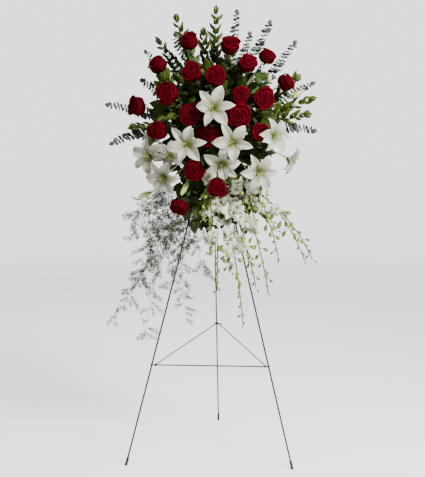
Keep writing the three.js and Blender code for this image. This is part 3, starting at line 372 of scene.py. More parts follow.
@dataclass(frozen=True)
class Finish:
    """A painted, moulded or rough surface with soft blotches and a fine grain."""

    name: str
    slot: str
    colour: Triple
    second: Triple
    roughness: float
    coating: Coating = Coating.MATT
    blotch: float = 60.0
    grain: float = 900.0
    bump: float = 0.2
    specular: float = 0.5
    translucent: float = 0.0

    def make(self, kit: ShaderKit) -> bpy.types.Material:
        """Builds the material.

        Args:
            kit: The shared shader groups.

        Returns:
            The material, with its colour, roughness and bump from nodes.
        """
        material = bpy.data.materials.new(self.name)
        material.use_nodes = True
        tree = material.node_tree
        sizes = {"Blotch Size": self.blotch, "Grain Size": self.grain}
        mottle = add_node(tree, "ShaderNodeGroup", sizes, node_tree=kit.mottle)
        colour = self._colour(tree, kit, mottle)
        spread = {
            "Value": mottle.outputs["Blotch"],
            "To Min": max(self.roughness - ROUGHNESS_SPREAD, LEAST_ROUGHNESS),
            "To Max": min(self.roughness + ROUGHNESS_SPREAD, 1.0),
        }
        rough = add_node(tree, "ShaderNodeMapRange", spread)
        relief = {"Height": self._height(tree, mottle), "Strength": self.bump, "Distance": BUMP_DEPTH}
        bump = add_node(tree, "ShaderNodeBump", relief)
        inputs = {
            "Base Color": colour,
            "Roughness": rough.outputs["Result"],
            "Normal": bump.outputs["Normal"],
            "Coat Weight": self.coating.value,
            "Coat Roughness": COAT_ROUGHNESS,
            "Specular IOR Level": self.specular,
        }
        if self.translucent:
            inputs["Subsurface Weight"] = self.translucent
            inputs["Subsurface Radius"] = SUBSURFACE_RADIUS
            inputs["Subsurface Scale"] = 1.0
        feed(tree, tree.nodes["Principled BSDF"], inputs)
        return material

    @staticmethod
    def _mixed(
        tree: bpy.types.NodeTree, mask: bpy.types.NodeSocket, first: object, second: object
    ) -> bpy.types.NodeSocket:
        """A colour mixed by a mask, from sockets or plain colours."""
        mix = add_node(tree, "ShaderNodeMix", {"Factor": mask}, data_type="RGBA")
        for label, value in (("A", first), ("B", second)):
            socket = next(one for one in mix.inputs if one.name == label and one.type == "RGBA")
            if isinstance(value, bpy.types.NodeSocket):
                tree.links.new(value, socket)
            else:
                socket.default_value = (*value, 1.0)
        return next(one for one in mix.outputs if one.type == "RGBA")

    def _colour(
        self, tree: bpy.types.NodeTree, kit: ShaderKit, mottle: bpy.types.Node
    ) -> bpy.types.NodeSocket:
        """The colour: two tones mixed by the blotches."""
        return self._mixed(tree, mottle.outputs["Blotch"], self.colour, self.second)

    def _height(self, tree: bpy.types.NodeTree, mottle: bpy.types.Node) -> bpy.types.NodeSocket:
        """The height that feeds the bump."""
        return mottle.outputs["Grain"]


@dataclass(frozen=True)
class BladeFinish(Finish):
    """A petal or a leaf: a rib, veins, a root and a rim in colours of their own, and tones that vary; on some
    finishes they also paint light and shade.
    """

    root: Triple = (0.1, 0.1, 0.1)
    rim: Triple = (0.1, 0.1, 0.1)
    rib: Triple = (0.1, 0.1, 0.1)
    root_reach: float = 0.35
    rim_share: float = 0.3
    rib_width: float = 0.09
    rib_share: float = 0.5
    vein_count: float = 9.0
    vein_slant: float = 0.5
    vein_share: float = 0.15
    tone_share: float = 0.5

    def _colour(
        self, tree: bpy.types.NodeTree, kit: ShaderKit, mottle: bpy.types.Node
    ) -> bpy.types.NodeSocket:
        """The colour, from the blade's own coordinates, its tone and the blotches."""
        sizes = {"Vein Count": self.vein_count, "Vein Slant": self.vein_slant, "Rib Width": self.rib_width}
        veins = add_node(tree, "ShaderNodeGroup", sizes, name="veins", node_tree=kit.veins)
        tone = add_node(tree, "ShaderNodeAttribute", {}, attribute_name="tone")
        colour = self.colour
        for mask, low, high, share, layer in (
            (tone.outputs["Fac"], 0, 1, self.tone_share, self.second),
            (mottle.outputs["Blotch"], *BLOTCH_EDGES, BLOTCH_SHARE, self.second),
            (veins.outputs["Along"], RIM_START, 1.0, self.rim_share, self.rim),
            (veins.outputs["Vein"], 0, 1, self.vein_share, self.rib),
            (veins.outputs["Rib"], 0, 1, self.rib_share, self.rib),
            (veins.outputs["Along"], self.root_reach, 0, 1.0, self.root),
        ):
            least, most = (0.0, share) if low < high else (share, 0.0)
            reach = {"Value": mask, "From Min": min(low, high), "From Max": max(low, high)}
            reach |= {"To Min": least, "To Max": most}
            step = add_node(tree, "ShaderNodeMapRange", reach, interpolation_type="SMOOTHSTEP")
            colour = self._mixed(tree, step.outputs["Result"], colour, layer)
        return colour

    def _height(self, tree: bpy.types.NodeTree, mottle: bpy.types.Node) -> bpy.types.NodeSocket:
        """Veins that stand a little proud of the blade."""
        heights = {0: tree.nodes["veins"].outputs["Vein"], 1: mottle.outputs["Grain"]}
        return add_node(tree, "ShaderNodeMath", heights, operation="ADD").outputs[0]


WIRE_PAINT = Finish(
    "wire_paint", "green_wire", (0.008, 0.022, 0.019), (0.014, 0.033, 0.028), 0.5, Coating.WAXY,
    blotch=40, grain=500, bump=0.15, specular=0.3,
)
FOOT_RUBBER = Finish("foot_rubber", "foot_rubber", (0.012, 0.012, 0.013), (0.03,) * 3, 0.7, blotch=90)
CAGE_PLASTIC = Finish(
    "cage_plastic", "cage_plastic", (0.007, 0.03, 0.013), (0.011, 0.042, 0.019), 0.45, Coating.WAXY, bump=0.1
)
WET_FOAM = Finish(
    "wet_foam", "flower_foam", (0.012, 0.045, 0.02), (0.02, 0.065, 0.03), 0.9, blotch=120, grain=600, bump=0.9
)
# Rose petals: the bright rim colour on the petal tips is a painted highlight. The dark root colour at the
# petal bases is painted shade in the heart of the bloom, and so is the darker second colour where the tone
# brings it in on the inner petals; elsewhere the second colour is random blotches.
ROSE_VELVET = BladeFinish(
    "rose_velvet", "rose_petal", (0.056, 0.0, 0.002), (0.015, 0.0, 0.001), 0.75, blotch=70, grain=1500,
    bump=0.12, specular=0.04, root=(0.018, 0.0, 0.0), rim=(0.17, 0.0008, 0.01), rib=(0.06, 0.0, 0.003),
    root_reach=0.55, rim_share=0.35, rib_share=0.1, vein_count=3.0, vein_slant=2.0, vein_share=0.12,
    tone_share=0.7,
)
# Lily tepals: the grey-cream colour and the darker second colour, which each tepal's tone brings in, are
# painted shade on white tepals. The bright rim colour on the tips is painted light. The olive root is the
# green throat, spread far out as painted shade towards the middle, and the rib and veins are the midrib's
# green lines, darkened as painted shade in the groove.
LILY_WAX = BladeFinish(
    "lily_wax", "lily_petal", (0.5, 0.47, 0.39), (0.3, 0.28, 0.25), 0.5, blotch=50, grain=1600,
    bump=0.15, translucent=0.06, root=(0.17, 0.22, 0.03), rim=(0.86, 0.84, 0.79), rib=(0.27, 0.28, 0.13),
    root_reach=0.55, rim_share=0.62, rib_width=0.16, rib_share=0.6, vein_count=2.0, vein_slant=3.0,
    vein_share=0.14, tone_share=0.35,
)
PISTIL_GREEN = Finish("pistil_green", "stem_green", (0.2, 0.3, 0.03), (0.32, 0.4, 0.07), 0.4, Coating.WAXY)
ANTHER_OLIVE = Finish(
    "anther_olive", "stem_green", (0.06, 0.05, 0.01), (0.13, 0.1, 0.02), 0.85, grain=2500, bump=0.5
)
STEM_GREEN = Finish("stem_green", "stem_green", (0.14, 0.2, 0.045), (0.22, 0.29, 0.085), 0.45, Coating.WAXY)
TWIG_BARK = Finish("twig_bark", "stem_green", (0.045, 0.055, 0.02), (0.085, 0.085, 0.035), 0.6, blotch=120)
BUD_LIME = BladeFinish(
    "bud_lime", "stem_green", (0.6, 0.63, 0.26), (0.42, 0.52, 0.12), 0.42, Coating.WAXY, blotch=80,
    root=(0.24, 0.36, 0.05), rim=(0.72, 0.7, 0.42), rib=(0.34, 0.44, 0.1), root_reach=0.4, rim_share=0.6,
    rib_width=0.2, rib_share=0.4, vein_share=0.05,
)
ROSE_LEAF = BladeFinish(
    "rose_leaf", "stem_green", (0.042, 0.072, 0.008), (0.016, 0.032, 0.005), 0.42, Coating.WAXY, blotch=45,
    bump=0.35, root=(0.04, 0.08, 0.015), rim=(0.03, 0.055, 0.01), rib=(0.07, 0.13, 0.03), root_reach=0.12,
    rim_share=0.3, rib_width=0.07, rib_share=0.7, vein_count=8.0, vein_slant=0.6, vein_share=0.3,
)
# Salal: the tone mixes a near-black green towards a lighter olive. The stems' shade shifts the tone, so the
# olive is partly the leaves' own colour and partly painted light on lit stems, and the near-black is partly
# painted shade inside the spray.
SALAL_LEAF = BladeFinish(
    "salal_leaf", "salal_green", (0.012, 0.025, 0.004), (0.078, 0.11, 0.007), 0.55, blotch=30,
    bump=0.35, specular=0.15, root=(0.03, 0.06, 0.012), rim=(0.02, 0.04, 0.008), rib=(0.06, 0.11, 0.025),
    root_reach=0.1, rim_share=0.3, rib_width=0.05, rib_share=0.7, vein_count=6.0, vein_slant=0.9,
    vein_share=0.25,
)
# Myrtle: the tone mixes the leaf green towards a near-black second colour; through the stems' shade this
# paints the left-hand stems darker as painted shade and the lit right-hand ones lighter as painted light.
MYRTLE_LEAF = BladeFinish(
    "myrtle_leaf", "myrtle_green", (0.058, 0.09, 0.005), (0.009, 0.021, 0.003), 0.42, blotch=25,
    specular=0.3, bump=0.2, root=(0.04, 0.075, 0.008), rim=(0.08, 0.12, 0.009), rib=(0.1, 0.15, 0.02),
    root_reach=0.15, rim_share=0.35, rib_width=0.1, rib_share=0.55, vein_count=7.0, vein_slant=0.8,
    vein_share=0.12, tone_share=0.9,
)
EUCALYPTUS_LEAF = BladeFinish(
    "eucalyptus_leaf", "eucalyptus_green", (0.045, 0.07, 0.049), (0.015, 0.027, 0.018), 0.6, blotch=35,
    bump=0.15, root=(0.05, 0.08, 0.05), rim=(0.09, 0.13, 0.09), rib=(0.12, 0.17, 0.12), root_reach=0.2,
    rim_share=0.3, rib_width=0.06, rib_share=0.5, vein_count=5.0, vein_slant=0.8, vein_share=0.15,
    tone_share=0.9,
)
FERN_GREEN = Finish("fern_green", "fern_green", (0.04, 0.064, 0.022), (0.085, 0.115, 0.05), 0.7, blotch=20)
# Orchid petals: the greenish second colour, which the blotches and each floret's tone bring in, is partly the
# petals' own green tint and partly painted shade between the florets.
ORCHID_PETAL = BladeFinish(
    "orchid_petal", "orchid_white", (0.8, 0.78, 0.64), (0.4, 0.43, 0.18), 0.5, blotch=60,
    bump=0.12, translucent=0.05, root=(0.3, 0.38, 0.1), rim=(0.72, 0.72, 0.66), rib=(0.42, 0.48, 0.22),
    root_reach=0.35, rim_share=0.5, rib_width=0.1, rib_share=0.3, vein_count=3.0, vein_slant=2.5,
    vein_share=0.1, tone_share=0.45,
)
ORCHID_BUD = BladeFinish(
    "orchid_bud", "orchid_white", (0.17, 0.21, 0.02), (0.34, 0.37, 0.075), 0.42, Coating.WAXY, blotch=90,
    root=(0.16, 0.24, 0.03), rim=(0.4, 0.44, 0.12), rib=(0.22, 0.3, 0.05), root_reach=0.4, rim_share=0.4,
    vein_share=0.08,
)
ORCHID_STEM = Finish("orchid_stem", "orchid_white", (0.1, 0.13, 0.016), (0.16, 0.2, 0.026), 0.5, specular=0.3)


@dataclass
class Paints:
    """Materials made from finishes, each once."""

    kit: ShaderKit = field(default_factory=ShaderKit)
    made: dict[str, bpy.types.Material] = field(default_factory=dict)

    def of(self, finish: Finish) -> bpy.types.Material:
        """The material of a finish."""
        if finish.name not in self.made:
            self.made[finish.name] = finish.make(self.kit)
        return self.made[finish.name]


# meshes


def add_object(name: str, data: bpy.types.ID) -> bpy.types.Object:
    """Adds an object to the scene."""
    made = bpy.data.objects.new(name, data)
    bpy.context.scene.collection.objects.link(made)
    return made


def mark_points(mesh: bpy.types.Mesh, name: str, kind: str, values: np.ndarray) -> None:
    """Gives each point of a mesh a value of its own."""
    data = mesh.attributes.new(name, kind, "POINT").data
    data.foreach_set("vector" if kind == "FLOAT_VECTOR" else "value", np.asarray(values, np.float32).ravel())


@dataclass
class Parts:
    """Points and faces of one piece, with each point's place on its blade and its tone."""

    points: list[np.ndarray] = field(default_factory=list)
    faces: list[list[int]] = field(default_factory=list)
    blades: list[np.ndarray] = field(default_factory=list)
    tones: list[np.ndarray] = field(default_factory=list)
    count: int = 0

    def add(self, points: np.ndarray, faces: Sequence[Sequence[int]], blade: np.ndarray, tone: float) -> None:
        """Adds a closed form.

        Args:
            points: Its points in millimetres.
            faces: Its faces, as numbers of its own points.
            blade: Across and along coordinates of each point.
            tone: From 0 to 1, how dark or light it is among its kind; on rose and lily petals it also paints
                shade.
        """
        self.points.append(points)
        self.blades.append(blade)
        self.tones.append(np.full(len(points), tone))
        self.faces.extend([self.count + i for i in face] for face in faces)
        self.count += len(points)

    def sheet(self, grid: np.ndarray, thick: float, tone: float) -> None:
        """Adds a petal or a leaf with two faces and a rim, from a grid of points."""
        rows, cols = grid.shape[:2]
        along = np.gradient(grid, axis=0)
        across = np.gradient(grid, axis=1)
        normal = np.cross(across, along)
        normal /= np.maximum(np.linalg.norm(normal, axis=2, keepdims=True), TINY)
        sides = np.concatenate([grid + normal * thick / 2, grid - normal * thick / 2]).reshape(-1, 3)
        u, v = np.meshgrid(np.linspace(-1, 1, cols), np.linspace(0, 1, rows))
        blade = np.tile(np.stack([u, v], axis=2).reshape(-1, 2), (2, 1))
        self.add(sides, sheet_faces(rows, cols), blade, tone)

    def tube(self, points: np.ndarray, radii: Sequence[float], sides: int, tone: float) -> None:
        """Adds a round form along points, with a radius for each, closed at both ends."""
        count = len(points)
        side = square_to(unit(points[1] - points[0]))[0]
        rings = []
        for i in range(count):
            axis = unit(points[min(i + 1, count - 1)] - points[max(i - 1, 0)])
            side = unit(side - axis * float(side @ axis))
            up = np.cross(axis, side)
            turns = 2 * math.pi * np.arange(sides) / sides
            ring = np.outer(np.cos(turns), side) + np.outer(np.sin(turns), up)
            rings.append(points[i] + ring * radii[i])
        faces = []
        for low in range(0, (count - 1) * sides, sides):
            for k in range(sides):
                after = (k + 1) % sides
                faces.append([low + k, low + after, low + sides + after, low + sides + k])
        faces.append(list(range(sides))[::-1])
        faces.append([(count - 1) * sides + k for k in range(sides)])
        u = np.tile(np.cos(2 * math.pi * 3 * np.arange(sides) / sides), count)
        v = np.repeat(np.linspace(0, 1, count), sides)
        self.add(np.concatenate(rings), faces, np.stack([u, v], axis=1), tone)

    def to_mesh(self, name: str, in_frame: bool = True) -> bpy.types.Mesh:
        """A mesh of all that was added, moved to the frame's metres or left in millimetres."""
        points = np.concatenate(self.points)
        if in_frame:
            points = (points + TO_ORIGIN) * MM
        mesh = bpy.data.meshes.new(name)
        mesh.from_pydata(points.tolist(), [], self.faces)
        mark_points(mesh, "blade", "FLOAT_VECTOR", np.pad(np.concatenate(self.blades), ((0, 0), (0, 1))))
        if in_frame:
            mark_points(mesh, "tone", "FLOAT", np.concatenate(self.tones))
        mesh.shade_smooth()
        mesh.update()
        return mesh


def sheet_faces(rows: int, cols: int) -> list[list[int]]:
    """Faces of a grid with a front, a back and a rim."""
    below = rows * cols
    faces = []
    for r in range(rows - 1):
        for c in range(cols - 1):
            a, b, d, e = r * cols + c, r * cols + c + 1, (r + 1) * cols + c + 1, (r + 1) * cols + c
            faces.append([a, b, d, e])
            faces.append([below + e, below + d, below + b, below + a])
    loop = [*range(cols), *(r * cols + cols - 1 for r in range(1, rows))]
    loop += ((rows - 1) * cols + c for c in range(cols - 2, -1, -1))
    loop += (r * cols for r in range(rows - 2, 0, -1))
    for a, b in zip(loop, loop[1:] + loop[:1]):
        faces.append([a, below + a, below + b, b])
    return faces


class Garden:
    """Builds pieces and adds them to the scene, with Geometry Nodes for what repeats or follows a line."""

    def __init__(self, paints: Paints) -> None:
        """Builds the two node trees."""
        self.paints = paints
        self.scatter_tree = self._scatter_tree()
        self.stem_tree = self._stem_tree()
        self.items: dict[str, bpy.types.Object] = {}

    @staticmethod
    def _tree(name: str, inputs: Sequence[tuple[str, str, object]]) -> bpy.types.NodeTree:
        """A geometry tree with named inputs."""
        tree = bpy.data.node_groups.new(name, "GeometryNodeTree")
        tree.interface.new_socket("Geometry", in_out="INPUT", socket_type="NodeSocketGeometry")
        for label, kind, value in inputs:
            socket = tree.interface.new_socket(label, in_out="INPUT", socket_type=kind)
            if value is not None:
                socket.default_value = value
        tree.interface.new_socket("Geometry", in_out="OUTPUT", socket_type="NodeSocketGeometry")
        tree.nodes.new("NodeGroupInput")
        tree.nodes.new("NodeGroupOutput")
        return tree

    @staticmethod
    def _attribute(tree: bpy.types.NodeTree, name: str, kind: str) -> bpy.types.NodeSocket:
        """A named attribute's value."""
        node = add_node(tree, "GeometryNodeInputNamedAttribute", {"Name": name}, data_type=kind)
        return next(one for one in node.outputs if one.name == "Attribute" and one.enabled)

    @staticmethod
    def _painted(tree: bpy.types.NodeTree, geometry: bpy.types.NodeSocket) -> bpy.types.NodeTree:
        """Ends a tree: makes its copies real and gives them their finish."""
        start, end = tree.nodes["Group Input"], tree.nodes["Group Output"]
        real = add_node(tree, "GeometryNodeRealizeInstances", {0: geometry})
        inputs = {"Geometry": real.outputs[0], "Material": start.outputs["Finish"]}
        paint = add_node(tree, "GeometryNodeSetMaterial", inputs)
        tree.links.new(paint.outputs[0], end.inputs["Geometry"])
        return tree

    def _scatter_tree(self) -> bpy.types.NodeTree:
        """Sets one leaf, floret or needle tuft on each point, turned and sized by the point's attributes."""
        tree = self._tree(
            "scatter",
            (
                ("Item", "NodeSocketObject", None),
                ("Finish", "NodeSocketMaterial", None),
                ("Size", "NodeSocketFloat", 1.0),
                ("Size Spread", "NodeSocketFloat", 0.1),
                ("Seed", "NodeSocketInt", 1),
            ),
        )
        start = tree.nodes["Group Input"].outputs
        item = add_node(tree, "GeometryNodeObjectInfo", {"Object": start["Item"]})
        spread = add_node(tree, "FunctionNodeRandomValue", {"Seed": start["Seed"]}, data_type="FLOAT")
        floats = [one for one in spread.inputs if one.type == "VALUE" and one.enabled]
        for operation, limit in zip(("SUBTRACT", "ADD"), floats):
            edge = add_node(tree, "ShaderNodeMath", {0: 1.0, 1: start["Size Spread"]}, operation=operation)
            tree.links.new(edge.outputs[0], limit)
        random_size = next(one for one in spread.outputs if one.type == "VALUE" and one.enabled)
        whole = add_node(tree, "ShaderNodeMath", {0: random_size, 1: start["Size"]}, operation="MULTIPLY")
        sizes = {0: self._attribute(tree, "size", "FLOAT_VECTOR"), "Scale": whole.outputs[0]}
        scaled = add_node(tree, "ShaderNodeVectorMath", sizes, operation="SCALE")
        inputs = {
            "Points": start["Geometry"],
            "Instance": item.outputs["Geometry"],
            "Rotation": self._attribute(tree, "turn", "QUATERNION"),
            "Scale": scaled.outputs["Vector"],
        }
        place = add_node(tree, "GeometryNodeInstanceOnPoints", inputs)
        return self._painted(tree, place.outputs["Instances"])

    def _stem_tree(self) -> bpy.types.NodeTree:
        """Sweeps a round section along lines, as thick as their points say."""
        tree = self._tree(
            "stems",
            (
                ("Finish", "NodeSocketMaterial", None),
                ("Sides", "NodeSocketInt", 6),
                ("Thickness", "NodeSocketFloat", 1.0),
            ),
        )
        start = tree.nodes["Group Input"].outputs
        curve = add_node(tree, "GeometryNodeMeshToCurve", {"Mesh": start["Geometry"]})
        radii = {0: self._attribute(tree, "thick", "FLOAT"), 1: start["Thickness"]}
        thick = add_node(tree, "ShaderNodeMath", radii, operation="MULTIPLY")
        circle = {"Radius": 1.0, "Resolution": start["Sides"]}
        section = add_node(tree, "GeometryNodeCurvePrimitiveCircle", circle)
        inputs = {
            "Curve": curve.outputs["Curve"],
            "Profile Curve": section.outputs["Curve"],
            "Scale": thick.outputs[0],
            "Fill Caps": True,
        }
        sweep = add_node(tree, "GeometryNodeCurveToMesh", inputs)
        smooth = add_node(tree, "GeometryNodeSetShadeSmooth", {"Geometry": sweep.outputs["Mesh"]})
        return self._painted(tree, smooth.outputs[0])

    @staticmethod
    def _run(
        name: str, mesh: bpy.types.Mesh, tree: bpy.types.NodeTree, inputs: dict[str, object]
    ) -> bpy.types.Object:
        """Runs a tree on a mesh and keeps the result as a plain mesh."""
        source = add_object(f"{name}_source", mesh)
        modifier = source.modifiers.new("nodes", "NODES")
        modifier.node_group = tree
        sockets = {one.name: one.identifier for one in tree.interface.items_tree if one.in_out == "INPUT"}
        for label, value in inputs.items():
            modifier[sockets[label]] = value
        depsgraph = bpy.context.evaluated_depsgraph_get()
        made = bpy.data.meshes.new_from_object(source.evaluated_get(depsgraph), depsgraph=depsgraph)
        source.modifiers.clear()
        bpy.data.objects.remove(source)
        made.name = name
        made.materials.clear()
        made.materials.append(inputs["Finish"])
        made.polygons.foreach_set("material_index", np.zeros(len(made.polygons), np.int32))
        return add_object(name, made)

    def item(self, name: str, parts: Parts) -> None:
        """Adds an object to scatter, in millimetres about its own root; it is removed at the end."""
        self.items[name] = add_object(f"{name}_item", parts.to_mesh(f"{name}_item", in_frame=False))

    def scatter(
        self,
        name: str,
        item: str,
        finish: Finish,
        places: Sequence[tuple[np.ndarray, np.ndarray, np.ndarray, Sequence[float], float]],
        nodes: Sequence[str],
        spread: float = 0.1,
        seed: int = 1,
    ) -> None:
        """Sets copies of an item at places and adds them as one piece.

        Args:
            name: The piece's name.
            item: The name of the item.
            finish: What it is made of.
            places: For each copy its point, the way that its length lies, its cross direction, its
                size along its three axes, and its tone.
            nodes: CAD nodes that the piece replaces.
            spread: How much the sizes vary.
            seed: Seed of that variation.
        """
        mesh = bpy.data.meshes.new(f"{name}_points")
        points = (np.array([place[0] for place in places]) + TO_ORIGIN) * MM
        mesh.from_pydata(points.tolist(), [], [])
        turns = []
        for _, way, across, _, _ in places:
            way = unit(way)
            across = unit(across - way * float(across @ way))
            matrix = Matrix((across, way, np.cross(across, way))).transposed()
            turns.append(matrix.to_quaternion())
        mark_points(mesh, "turn", "QUATERNION", np.array([tuple(one) for one in turns], np.float32))
        sizes = np.array([place[3] for place in places], np.float32) * MM
        mark_points(mesh, "size", "FLOAT_VECTOR", sizes)
        mark_points(mesh, "tone", "FLOAT", np.array([place[4] for place in places], np.float32))
        inputs = {
            "Item": self.items[item],
            "Finish": self.paints.of(finish),
            "Size": 1.0,
            "Size Spread": spread,
            "Seed": seed,
        }
        self.keep(self._run(name, mesh, self.scatter_tree, inputs), finish, nodes)

    def stems(
        self,
        name: str,
        finish: Finish,
        lines: Sequence[tuple[np.ndarray, Sequence[float]]],
        nodes: Sequence[str],
        sides: int = 6,
    ) -> None:
        """Sweeps stems along lines of points, with a radius for each point, and adds them as one piece."""
        points, edges, radii = [], [], []
        for line, thick in lines:
            first = len(points)
            points.extend(line)
            radii.extend(np.broadcast_to(np.array(thick, float), len(line)))
            edges.extend((first + i, first + i + 1) for i in range(len(line) - 1))
        mesh = bpy.data.meshes.new(f"{name}_lines")
        mesh.from_pydata(((np.array(points) + TO_ORIGIN) * MM).tolist(), edges, [])
        mark_points(mesh, "thick", "FLOAT", np.array(radii, np.float32) * MM)
        inputs = {"Finish": self.paints.of(finish), "Sides": sides, "Thickness": 1.0}
        self.keep(self._run(name, mesh, self.stem_tree, inputs), finish, nodes)

    def form(self, name: str, finish: Finish, parts: Parts, nodes: Sequence[str]) -> None:
        """Adds a piece that was built point by point."""
        mesh = parts.to_mesh(name)
        mesh.materials.append(self.paints.of(finish))
        self.keep(add_object(name, mesh), finish, nodes)

    @staticmethod
    def keep(piece: bpy.types.Object, finish: Finish, nodes: Sequence[str]) -> None:
        """Makes a piece ride on the stand in place of the CAD nodes that it stands for."""
        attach(piece, STAND)
        if nodes:
            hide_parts(*nodes)
        LOG.info("%s: %d faces", piece.name, len(piece.data.polygons))

    def clear_items(self) -> None:
        """Removes the items that were scattered."""
        for made in self.items.values():
            mesh = made.data
            bpy.data.objects.remove(made)
            bpy.data.meshes.remove(mesh)


# leaves and florets that are scattered


@dataclass(frozen=True)
class LeafShape:
    """A leaf of length one along +Y, with its root at the origin: its outline, fold and bend."""

    width: float
    widest: float = 0.45
    point: float = 1.0
    fold: float = 0.12
    droop: float = 0.06
    thick: float = 0.02
    rows: int = 6
    cols: int = 5

    def grid(self) -> np.ndarray:
        """The grid of points through the leaf's middle."""
        v = np.linspace(0, 1, self.rows)
        u = np.linspace(-1, 1, self.cols)
        power = math.log(0.5) / math.log(self.widest)
        outline = np.sin(math.pi * v**power) ** self.point
        outline = np.maximum(outline, 0.03)
        uu, vv = np.meshgrid(u, v)
        half = outline[:, None] * self.width / 2
        x = uu * half
        z = self.fold * np.abs(uu) * half * 2 - self.droop * vv**2
        return np.stack([x, vv, z], axis=2)

    def parts(self) -> Parts:
        """The leaf as a closed form."""
        parts = Parts()
        parts.sheet(self.grid(), self.thick, 0.5)
        return parts


def floret_parts() -> Parts:
    """A dendrobium floret of radius one that looks along +Y: five petals and a rolled lip."""
    parts = Parts()
    for k, (turn, width, reach) in enumerate(
        ((90, 0.6, 1.0), (18, 0.95, 0.95), (162, 0.95, 0.95), (234, 0.58, 0.92), (306, 0.58, 0.92))
    ):
        v = np.linspace(0, 1, 5)
        u = np.linspace(-1, 1, 4)
        uu, vv = np.meshgrid(u, v)
        half = np.maximum(np.sin(math.pi * v**0.75) ** 0.7, 0.08)[:, None] * width / 2
        out = (0.05 + 0.95 * vv) * reach
        height = 0.12 * np.sin(vv * math.pi) - 0.1 * vv**2 + 0.12 * uu**2 * half
        angle = math.radians(turn)
        x = out * math.cos(angle) - uu * half * math.sin(angle)
        z = out * math.sin(angle) + uu * half * math.cos(angle)
        parts.sheet(np.stack([x, height + 0.02 * k, z], axis=2)[:, ::-1], 0.018, 0.5)
    lip = np.array([(0, 0.05, -0.02), (0, 0.22, -0.08), (0, 0.36, -0.2), (0, 0.42, -0.38)], float)
    parts.tube(lip, (0.06, 0.13, 0.15, 0.05), 6, 0.9)
    return parts


def tuft_parts(seed: int) -> Parts:
    """A tuft of fern needles of length one that fans out along +Y."""
    parts = Parts()
    rng = np.random.default_rng(seed)
    for k in range(5):
        side = (k - 2) * 0.5 + rng.uniform(-0.1, 0.1)
        tip = vec(math.sin(side), math.cos(side), rng.uniform(-0.35, 0.35)) * rng.uniform(0.75, 1.0)
        start = tip * 0.02
        aside, up = square_to(unit(tip))
        low = start - aside * 0.032
        points = np.array([start + aside * 0.064, low + up * 0.055, low - up * 0.055, tip])
        blade = np.array([(0, 0), (0.5, 0), (-0.5, 0), (0, 1)], float)
        parts.add(points, [[0, 2, 1], [0, 1, 3], [1, 2, 3], [2, 0, 3]], blade, 0.5)
    return parts


def bud_parts() -> Parts:
    """A closed orchid bud of length one along +Y, fuller on one side."""
    parts = Parts()
    line = np.array([(0, 0, 0), (0, 0.2, -0.03), (0, 0.5, 0.0), (0, 0.8, 0.04), (0, 1.0, 0.02)], float)
    parts.tube(line, (0.06, 0.19, 0.27, 0.18, 0.04), 7, 0.5)
    return parts


# the flowers


